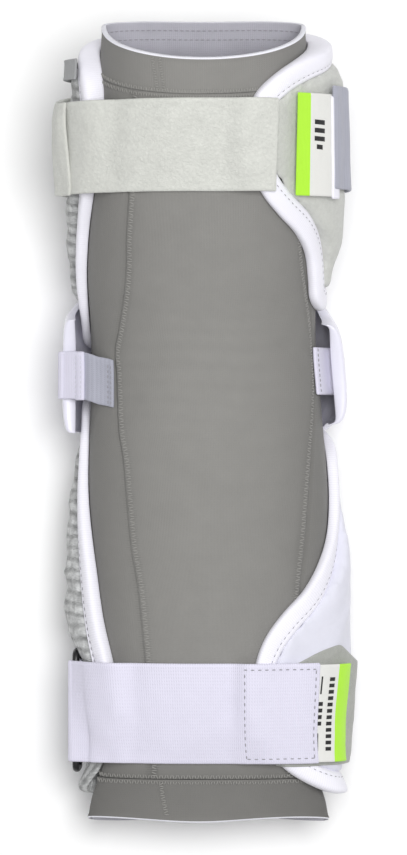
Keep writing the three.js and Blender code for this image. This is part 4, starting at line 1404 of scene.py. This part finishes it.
def around_bar(centre, half_x, half_z, start, end, steps, exponent):
    """Points round a bar, at angles from +X towards +Z."""
    found = []
    for angle in spread(start, end, steps):
        x, z = math.cos(math.radians(angle)), math.sin(math.radians(angle))
        r = ((abs(x) / half_x) ** exponent + (abs(z) / half_z) ** exponent) ** (-1 / exponent)
        found.append(Vector((centre.x + r * x * MM, centre.y, centre.z + r * z * MM)))
    return found


def tab_edges(u, v, w):
    """A sewn hem round a tab's end and a selvedge at its sides."""
    return 0.25 * w * (bump_at(v, 0.03, 0.03) + bump_at(v, 0.97, 0.03) + bump_at(u, 0.97, 0.03))


def across(u, low, high, steps):
    """Shares of a line across a tape."""
    return [(u, v) for v in spread(low, high, steps)]


def along(v, low, high, steps):
    """Shares of a line along a tape."""
    return [(u, v) for u in spread(low, high, steps)]


def build_left_loop():
    """Elastic through the cap's left slot, round the bar and back to its hem."""

    def line(v):
        y = ELASTIC["from"] + ELASTIC["width"] * v
        angle, lift = LOOP_HEM["angle"], LOOP_HEM["lift"]
        hem = wrap(level_to(y, angle, lift), angle, lift)
        low = Vector((hem.x, hem.y, hem.z - (ELASTIC["thickness"] + 2 * FIT) * MM))
        wide = CAP_RIM / 2 + 2 * FIT + ELASTIC["thickness"] / 2
        return [low, *around_bar(cap_bar(-1, y), wide, 6.1, -35, -255, 22, 3.4), hem]

    loop = Ribbon(line, ELASTIC["thickness"], 60, 12)
    obj = loop.piece("left_loop", "strap_elastic", "strap_elastic", ["elbow_loop_left"])
    loop.length()


def build_left_tab():
    """Webbing from the loop's hem to the sleeve's left seam."""

    def line(v):
        found = []
        for k, (angle, lift) in enumerate(LEFT_TAB):
            y = ELASTIC["from"] + ELASTIC["width"] * v + LEFT_TAB_SLANT * k / (len(LEFT_TAB) - 1)
            found.append(wrap(level_to(y, angle, lift), angle, lift))
        return found

    tab = Ribbon(line, 1.4, 26, 14)
    obj = tab.piece("left_tab", "anchor_webbing", "anchor_webbing", ["elbow_tab_left"], tab_edges)
    tab.length()
    for k, u in enumerate((0.84, 0.95)):
        stitches(f"left_tab_thread_{k}", sewn_path(tab, across(u, 0.06, 0.94, 30), 0.15), "tab")


def build_left_hem():
    """Raised fold where the loop's end is sewn to the tab."""

    def line(v):
        y = ELASTIC["from"] - 0.6 + (ELASTIC["width"] + 0.4) * v
        return [wrap(level_to(y, angle, lift), angle, lift) for angle, lift in LEFT_HEM]

    hem = Ribbon(line, 1.6, 16, 14)
    obj = hem.piece("left_hem", "strap_elastic", "strap_elastic")
    once = hem.width() * hem.length()
    2 * hem.length()
    for k, u in enumerate((0.25, 0.8)):
        stitches(f"left_hem_thread_{k}", sewn_path(hem, across(u, 0.05, 0.95, 30), 0.1), "fold")


def build_right_tab():
    """Elastic from the sleeve's right seam down inside the cap's side wall."""
    band = {"from": ELASTIC["from"] + 2, "width": ELASTIC["width"]}
    angles = [angle for angle, _ in RIGHT_TAB]

    def lifts(k, v):
        return RIGHT_TAB[k][1]

    tab = Ribbon(arm_line(band, angles, lifts), ELASTIC["thickness"], 36, 14)
    obj = tab.piece("right_tab", "strap_elastic", "strap_elastic", ["elbow_tab_right"], tab_edges)
    tab.length()
    stitches("right_tab_thread", sewn_path(tab, across(0.07, 0.06, 0.94, 30), 0.15), "tab")


# Straps and labels

BAND = {"thickness": 2.2, "width": 42, "from": 83.7}
FLAP = {"thickness": 1.6, "angles": (-58, -64, -71, -78, -84, -89, -94, -98, -101.5)}
PULL = {"thickness": 1.6, "width": 47, "from": 85.6}
WEB = {"thickness": 1.6, "width": 48, "from": -183}
LABEL = {"thickness": 0.9, "width": 46.5, "from": 82}
LOW_LABEL = {"thickness": 0.9, "width": 46.5, "from": -182.5}
HEM = {"thickness": 1.5, "middle": 107.3, "angles": (104.5, 105.9, 107.3, 108.7, 110.1)}
KEEPER = {"thickness": 1.4, "width": 9.5, "from": 136}
# Angle of the keeper's places and how far it stands off the pad there
KEEPER_PLACES = ((-70, 0), (-76, 0.4), (-82, 1.2), (-88, 1.8), (-93, 1.6), (-97, 0.8), (-100, 0))
ANCHOR_ANGLES = (-50, -54, -58.5, -63, -67)
RING_BAR = 3.6  # thickness of the ring
AROUND_RING = 2.9  # from a bar's middle to the middle of the tape folded round it
# Printed bars as shares along the label, from and to, and across it, from and to
UPPER_MARKS = (
    (0.28, 0.56, 0.70, 0.745), (0.28, 0.56, 0.62, 0.665),
    (0.28, 0.56, 0.54, 0.585), (0.34, 0.5, 0.46, 0.505),
)
LOWER_RULES = ((0.64, 0.665, 0.12, 0.3), (0.64, 0.665, 0.7, 0.88))


def rims(height, width=0.025):
    """A raised selvedge along both long edges of a tape."""

    def relief(u, v, w):
        return height * w * (bump_at(v, width, width) + bump_at(v, 1 - width, width))

    return relief


def striped(low, high):
    """Paints a label's second finish between two shares along it."""

    def paint(centre):
        return 1 if low < centre.x < high else 0

    return paint


def nearest(values, x):
    """Index of the value nearest to x."""
    gaps = [abs(value - x) for value in values]
    return gaps.index(min(gaps))


def brushed_relief(u, v, w):
    """Soft waves of a brushed strap, with a selvedge."""
    soft = 0.3 * noise.noise(Vector((u * 14, v * 3, 2)))
    return (soft + rims(0.25, 0.02)(u, v, 1)) * w


def build_bicep_strap():
    """Brushed loop tape from the left side of the pad over the front, with its folded end."""
    pads = Stack(piece("upper_pad"), piece("upper_binding"), piece("sleeve_body"))
    angles = spread(-55, -180, 34) + spread(176, 137, 11)
    shown = [a if a > -180 else a + 360 for a in angles]
    rest = rest_lifts(BAND, shown, pads, 0.5, follow=0.7)

    def lifts(k, v):
        angle = angles[k]
        bulge = ease((-angle - 60) / 25) * ease((angle + 130) / 30) if angle < 0 else 0
        return rest(k, v) + bulge * v

    strap = Ribbon(arm_line(BAND, angles, lifts), BAND["thickness"], 150, 24)
    obj = strap.piece("upper_strap", "strap_loop", "strap_loop", ["bicep_strap"], brushed_relief)
    strap.length()

    def flap_line(v):
        found = []
        for k, angle in enumerate(FLAP["angles"]):
            share = k / (len(FLAP["angles"]) - 1)
            corners = 4.5 * ease((v - 0.7) / 0.3) + 2.5 * ease((0.25 - v) / 0.25)
            y = BAND["from"] - 0.5 + (BAND["width"] + 0.5) * v + corners * ease((0.75 - share) / 0.6)
            here = lifts(nearest(angles, angle), v)
            open_up = ease(share * 1.6) * ease((1.15 - share) / 0.4)
            gap = 2.6 * open_up * ease(v * 1.3) * ease((1.08 - v) / 0.3)
            found.append(wrap(level_to(y, angle, here), angle, here + 2.1 + gap))
        return found

    flap = Ribbon(flap_line, FLAP["thickness"], 44, 24)
    obj = flap.piece("upper_strap_flap", "strap_loop", "strap_loop", (), brushed_relief)
    flap.length()


def pull_creases(u, v, w):
    """Creases across the pull strap beside the label, with a selvedge."""
    folds = 0.55 * math.sin(u * 40 + 1.2 * math.sin(v * 3)) * ease((u - 0.55) / 0.2)
    return (folds + rims(0.2, 0.02)(u, v, 1)) * w


def build_bicep_label():
    """Pull strap on the wing, the label on it and the raised hem between them."""
    pads = Stack(piece("upper_pad"), piece("upper_binding"))
    angles = spread(40, 109.5, 20)
    lifts = rest_lifts(PULL, angles, pads, 0.4, follow=0.3)
    pull = Ribbon(arm_line(PULL, angles, lifts), PULL["thickness"], 70, 20, turned=-1)
    obj = pull.piece("upper_pull", "anchor_webbing", "anchor_webbing", ["bicep_pull_strap"], pull_creases)
    pull.length()

    angles = spread(109, 127, 12)
    base = rest_lifts(LABEL, angles, pads, 0.4 + PULL["thickness"] + FIT, 4, follow=0.3)
    label = Ribbon(arm_line(LABEL, angles, base), LABEL["thickness"], 48, 40, turned=-1)
    finishes = ["label_tape", "lime_stripe"]
    obj = label.piece("upper_label", finishes, "label_tape", ["bicep_label"], rims(0.12, 0.015),
                      paint=striped(0.66, 1.1))
    label.length()
    build_marks("upper_label_marks", label, UPPER_MARKS, 0.12)

    def hem_line(v):
        y = LABEL["from"] + LABEL["width"] * v
        found = []
        for angle in HEM["angles"]:
            lift = base(0, v) + 0.9 - 0.1 * abs(angle - HEM["middle"]) ** 1.5
            found.append(wrap(level_to(y, angle, 8), angle, lift))
        return found

    hem = Ribbon(hem_line, HEM["thickness"], 16, 30, turned=-1)
    obj = hem.piece("upper_label_hem", "binding_tape", "label_tape")
    max(hem.length(), 0.01)


def keeper_ends(u, v, w):
    """Raised selvedges of the narrow keeper."""
    return 0.35 * w * (bump_at(v, 0.05, 0.06) + bump_at(v, 0.95, 0.06))


def build_keeper():
    """Short tube of webbing that stands out at the left, above the bicep strap."""
    pads = Stack(piece("upper_pad"), piece("upper_binding"))
    angles = [angle for angle, _ in KEEPER_PLACES]
    rest = rest_lifts(KEEPER, angles, pads, 0.4, 5, 2, follow=0)

    def lifts(k, v):
        return rest(k, v) + KEEPER_PLACES[k][1]

    tube = Ribbon(arm_line(KEEPER, angles, lifts), KEEPER["thickness"], 34, 14)
    obj = tube.piece("upper_keeper", "keeper_webbing", "anchor_webbing", (), keeper_ends)
    tube.length()


def flat_map(bm):
    """Gives a mesh a cloth map seen from above, in metres."""
    cloth = bm.loops.layers.uv.new("cloth")
    for face in bm.faces:
        for loop in face.loops:
            loop[cloth].uv = (loop.vert.co.x, loop.vert.co.y)


def build_marks(name, label, boxes, slant=0.0):
    """Plain printed bars on a label, each from its shares along and across the tape."""
    whole = bmesh.new()
    for u0, u1, v0, v1 in boxes:
        bm = slab(6, 3)
        for vert in bm.verts:
            u = lerp(u0, u1, vert.co.x)
            v = lerp(v0, v1, vert.co.y) + slant * (vert.co.x - 0.5) * (v1 - v0)
            vert.co = label.on(u, v, 0.04 + 0.12 * vert.co.z)
        mesh = bpy.data.meshes.new("bar")
        bmesh.ops.recalc_face_normals(bm, faces=bm.faces[:])
        bm.to_mesh(mesh)
        bm.free()
        whole.from_mesh(mesh)
        bpy.data.meshes.remove(mesh)
    flat_map(whole)
    return make(whole, name, "printed_mark")


def build_forearm_label(pads):
    """Label at the strap's right end, with a lime stripe and rows of plain bars."""
    angles = spread(97, 122, 14)
    lifts = rest_lifts(WEB, angles, pads, 0.5, 4)
    label = Ribbon(arm_line(LOW_LABEL, angles, lifts), LOW_LABEL["thickness"], 50, 40, turned=-1)
    finishes = ["label_tape", "lime_stripe"]
    obj = label.piece("lower_label", finishes, "label_tape", ["forearm_label"], rims(0.12, 0.015),
                      paint=striped(-0.1, 0.34))
    label.length()
    marks = [(0.41, 0.51, v, v + 0.038) for v in spread(0.12, 0.83, 11)]
    marks += [(0.6, 0.7, v, v + 0.04) for v in spread(0.38, 0.58, 3)]
    build_marks("lower_label_marks", label, [*marks, *LOWER_RULES])


def ring_fold(bar, v, start, end, steps):
    """Points of the tape's fold round one of the ring's bars."""
    middle = Vector((bar.x, (WEB["from"] + WEB["width"] * v) * MM, bar.z))
    return around_bar(middle, AROUND_RING, AROUND_RING, start, end, steps, 2)


def build_forearm_strap(pads):
    """Woven elastic from the label over the front, folded round the ring at the left."""
    front, back = ring_bars()
    angles = spread(117, 176, 20) + spread(-180, -102, 26)
    shown = [a if a > 0 else a + 360 for a in angles]
    over = [(LABEL["thickness"] + 2 * FIT) * (1 - ease((a - 124) / 8)) for a in shown]
    rest = rest_lifts(WEB, shown, pads, 0.6)

    def lifts(k, v):
        return rest(k, v) + over[k]

    def line(v):
        slant = [lerp(-5.5, -2, v) * (1 - ease(k / 9)) for k in range(len(angles))]
        slanted = [a + s for a, s in zip(angles, slant)]
        return [*arm_line(WEB, slanted, lifts)(v), *ring_fold(front, v, 110, 340, 14)]

    strap = Ribbon(line, WEB["thickness"], 190, 26, turned=-1)
    obj = strap.piece("lower_strap", "strap_elastic", "strap_elastic", ["forearm_strap"], rims(0.2))
    strap.length()
    end, inner = 0.018, 0.262
    lines = {
        "end": across(end, 0.06, 0.94, 60),
        "inner": across(inner, 0.06, 0.94, 60),
        "upper": along(0.94, end, inner, 60),
        "lower": along(0.06, end, inner, 60),
    }
    for name, spots in lines.items():
        stitches("lower_strap_thread_" + name, sewn_path(strap, spots, 0.12), "strap")

    anchor_rest = rest_lifts(WEB, ANCHOR_ANGLES, pads, 0.3, 3, 1)

    def anchor_line(v):
        return [*arm_line(WEB, ANCHOR_ANGLES, anchor_rest)(v), *ring_fold(back, v, 245, 30, 12)]

    anchor = Ribbon(anchor_line, WEB["thickness"], 60, 12)
    obj = anchor.piece("ring_webbing", "anchor_webbing", "anchor_webbing", ["ring_anchor"], rims(0.2))
    anchor.length()


def ring_bars():
    """Middles of the ring's front and back bars, from its solid."""
    low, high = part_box("forearm_ring")
    wire = RING_BAR * MM
    straight = 0.026  # half the length of the bars' straight part
    points = [v.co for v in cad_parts["forearm_ring"].data.vertices]
    level = [c for c in points if abs(c.y - (low.y + high.y) / 2) < straight]
    top = [c.x for c in level if c.z > high.z - wire]
    base = [c.x for c in level if c.z < low.z + wire]
    front = Vector(((min(top) + max(top)) / 2, 0, high.z - wire / 2))
    back = Vector(((min(base) + max(base)) / 2, 0, low.z + wire / 2))
    return front, back


def build_ring():
    """The ring's own solid, rounded."""
    bm = solid_copy("forearm_ring")
    bmesh.ops.join_triangles(bm, faces=bm.faces[:], angle_face_threshold=3.1, angle_shape_threshold=3.1)
    flat_map(bm)
    make(bm, "lower_ring", "ring_plastic", ["forearm_ring"], levels=2)


def build_patch():
    """Grey loop patch on the forearm pad's wing, under the label."""
    pads = Stack(piece("lower_pad"), piece("lower_binding"))
    wrist_end, elbow_end = -184, -126.5

    def line(v):
        found = []
        for angle in spread(76, 132, 34):
            top = elbow_end - 10 * ease((angle - 100) / 34) - 9 * ease((103 - angle) / 14)
            t = lerp(wrist_end, top, v)
            lift = pads.top(t, angle) + 0.25 + 2.6 * ease((104 - angle) / 14)
            found.append(wrap(t, angle, lift))
        return found

    patch = Ribbon(line, 0.8, 60, 30, turned=-1)
    obj = patch.piece("lower_loop_patch", "loop_patch", "pad_fabric")
    patch.length()


# The stage

FLOOR_SIZE = 6
FLOOR_COLOR = (0.97, 0.97, 0.97)
LOOK_AT = Vector((0, 0, 0.06))
CAMERA_PLACE = (-0.0007, -0.0247, 2.27)
CAMERA_SENSOR = 36
# Half the height of the view at a distance from the camera, both in metres
VIEW_HALF, VIEW_DISTANCE = 0.200925, 2.2


def build_floor():
    bpy.ops.mesh.primitive_plane_add(size=FLOOR_SIZE, location=(0, 0, -0.0002))
    floor = bpy.context.object
    floor.name = "floor"
    made, tree, shader, place, _ = surface("floor_paper", 0.9)
    shade = use(tree, "mottle", {"Place": place, "Size": 0.4, "Strength": 0.004})
    tree.links.new(tint(tree, FLOOR_COLOR, shade.outputs["Shade"]), shader.inputs["Base Color"])
    floor.data.materials.append(made)


def build_lights():
    """Even white light from all round, a soft lamp above and a weak one at each side."""
    look = sizes()
    world = bpy.data.worlds.new("studio")
    world.use_nodes = True
    sky = world.node_tree.nodes["Background"]
    sky.inputs[0].default_value = (1, 1, 1, 1)
    sky.inputs[1].default_value = look.ambient
    bpy.context.scene.world = world
    lamps = (
        ("key", (0.2, 0.15, 2.0), 0.9, look.key_light),
        ("left", (-1.6, 0.2, 0.9), 1.0, look.side_light),
        ("right", (1.6, 0.2, 0.9), 1.0, look.side_light),
    )
    for name, place, size, power in lamps:
        data = bpy.data.lights.new(name, "AREA")
        data.shape = "DISK"
        data.size = size
        data.energy = power
        lamp = bpy.data.objects.new(name, data)
        lamp.location = place
        lamp.rotation_mode = "QUATERNION"
        lamp.rotation_quaternion = (LOOK_AT - Vector(place)).to_track_quat("-Z", "Y")
        bpy.context.scene.collection.objects.link(lamp)


def build_camera():
    """Camera straight above, at the photograph's angle to the part."""
    data = bpy.data.cameras.new("camera")
    data.sensor_fit = "AUTO"
    data.sensor_width = CAMERA_SENSOR
    data.lens = CAMERA_SENSOR / 2 / (VIEW_HALF / VIEW_DISTANCE)
    data.clip_start, data.clip_end = 0.05, 20
    camera = bpy.data.objects.new("camera", data)
    camera.location = CAMERA_PLACE
    bpy.context.scene.collection.objects.link(camera)
    bpy.context.scene.camera = camera
    bpy.context.scene.view_settings.view_transform = "Standard"


# The add-on


def length_property(label, about, default, low, high):
    return FloatProperty(
        name=label, description=about, default=default, min=low, max=high,
        subtype="DISTANCE", unit="LENGTH",
    )


def power_property(label, about, default):
    return FloatProperty(
        name=label, description=about, default=default, min=0.0, max=200.0,
        subtype="POWER", unit="POWER",
    )


def color_property(name):
    label, default = COLORS[name]
    return FloatVectorProperty(
        name=label, description=f"Colour of the {label.lower()}", default=default,
        size=3, min=0.0, max=1.0, subtype="COLOR_GAMMA",
    )


class ArmGuardSizes(bpy.types.PropertyGroup):
    """Sizes that a user would change."""

    binding: length_property(
        "Binding width", "Width of the tape folded round a pad's edge", 0.0095, 0.004, 0.02
    )
    channel_pitch: length_property(
        "Channel pitch", "Distance between the sewn channels of a pad", 0.017, 0.008, 0.04
    )
    pad_mesh: length_property(
        "Pad mesh", "Size of the faces that a pad's cover is simulated with", 0.0026, 0.0015, 0.006
    )
    pad_swell: length_property(
        "Pad swell", "Furthest that a pad's cover swells from its solid", 0.0022, 0.0, 0.006
    )
    pad_fullness: length_property(
        "Pad fullness", "How far the quilted side stands out between its ribs", 0.0014, 0.0, 0.004
    )
    pad_pressure: FloatProperty(
        name="Pad pressure", description="Pressure of the foam under a pad's cover",
        default=4.0, min=0.0, max=20.0,
    )
    ambient: FloatProperty(
        name="Ambient light", description="Strength of the even light from all round",
        default=0.36, min=0.0, max=3.0,
    )
    key_light: power_property("Key light", "Power of the soft lamp above", 31.0)
    side_light: power_property("Side lights", "Power of the soft lamp at each side", 1.6)


class ArmGuardColors(bpy.types.PropertyGroup):
    """Colours that a user would change, as they look on screen."""

    sleeve: color_property("sleeve")
    lining: color_property("lining")
    cut_edge: color_property("cut_edge")
    pad: color_property("pad")
    pad_wing: color_property("pad_wing")
    forearm_wing: color_property("forearm_wing")
    binding: color_property("binding")
    cap: color_property("cap")
    elastic: color_property("elastic")
    webbing: color_property("webbing")
    keeper: color_property("keeper")
    loop: color_property("loop")
    label: color_property("label")
    lime: color_property("lime")
    mark: color_property("mark")
    ring: color_property("ring")
    patch: color_property("patch")
    thread_pale: color_property("thread_pale")
    thread_grey: color_property("thread_grey")
    thread_dark: color_property("thread_dark")


class ARMGUARD_OT_sleeve(bpy.types.Operator):
    """Knit sleeve with its hem bands and zigzag seams"""

    bl_idname = "armguard.sleeve"
    bl_label = "Build Sleeve"

    def execute(self, context):
        build_sleeve()
        build_cuffs()
        build_sleeve_threads()
        return {"FINISHED"}


class ARMGUARD_OT_pads(bpy.types.Operator):
    """Quilted foam pads with their edge binding"""

    bl_idname = "armguard.pads"
    bl_label = "Build Pads"

    def execute(self, context):
        for name in PADS:
            build_pad(name)
        for name in PADS:
            build_binding(name)
        return {"FINISHED"}


class ARMGUARD_OT_elbow(bpy.types.Operator):
    """Moulded elbow cap and the elastic tabs that hold it"""

    bl_idname = "armguard.elbow"
    bl_label = "Build Elbow Cap"

    def execute(self, context):
        build_cap()
        build_left_loop()
        build_left_tab()
        build_left_hem()
        build_right_tab()
        return {"FINISHED"}


class ARMGUARD_OT_bicep_strap(bpy.types.Operator):
    """Brushed strap round the bicep pad, its pull strap, label and keeper"""

    bl_idname = "armguard.bicep_strap"
    bl_label = "Build Bicep Strap"

    def execute(self, context):
        build_bicep_strap()
        build_bicep_label()
        build_keeper()
        return {"FINISHED"}


class ARMGUARD_OT_forearm_strap(bpy.types.Operator):
    """Elastic strap round the forearm pad, its ring, label and loop patch"""

    bl_idname = "armguard.forearm_strap"
    bl_label = "Build Forearm Strap"

    def execute(self, context):
        build_patch()
        under = ("lower_pad", "lower_binding", "sleeve_body", "wrist_cuff")
        pads = Stack(*[piece(name) for name in under])
        build_forearm_label(pads)
        build_forearm_strap(pads)
        build_ring()
        return {"FINISHED"}


class ARMGUARD_OT_stage(bpy.types.Operator):
    """Pale floor, soft lamps and the camera"""

    bl_idname = "armguard.stage"
    bl_label = "Build Stage"

    def execute(self, context):
        build_floor()
        build_lights()
        build_camera()
        return {"FINISHED"}


class ARMGUARD_PT_panel(bpy.types.Panel):
    """Sizes, colours and build steps of the arm guard"""

    bl_idname = "ARMGUARD_PT_panel"
    bl_label = "Arm Guard"
    bl_space_type = "VIEW_3D"
    bl_region_type = "UI"
    bl_category = "Arm Guard"

    def draw(self, context):
        layout = self.layout
        for owner in (context.scene.arm_guard_sizes, context.scene.arm_guard_colors):
            box = layout.box()
            for name in type(owner).__annotations__:
                box.prop(owner, name)
        for step in STEPS:
            layout.operator(step.bl_idname)


STEPS = (
    ARMGUARD_OT_sleeve,
    ARMGUARD_OT_pads,
    ARMGUARD_OT_elbow,
    ARMGUARD_OT_bicep_strap,
    ARMGUARD_OT_forearm_strap,
    ARMGUARD_OT_stage,
)
CLASSES = (ArmGuardSizes, ArmGuardColors, *STEPS, ARMGUARD_PT_panel)


def register():
    for cls in CLASSES:
        bpy.utils.register_class(cls)
    bpy.types.Scene.arm_guard_sizes = PointerProperty(type=ArmGuardSizes)
    bpy.types.Scene.arm_guard_colors = PointerProperty(type=ArmGuardColors)


def unregister():
    del bpy.types.Scene.arm_guard_colors
    del bpy.types.Scene.arm_guard_sizes
    for cls in reversed(CLASSES):
        bpy.utils.unregister_class(cls)


def main():
    register()
    bpy.ops.armguard.sleeve()
    bpy.ops.armguard.pads()
    bpy.ops.armguard.elbow()
    bpy.ops.armguard.bicep_strap()
    bpy.ops.armguard.forearm_strap()
    bpy.ops.armguard.stage()


if __name__ == "__main__":
    main()
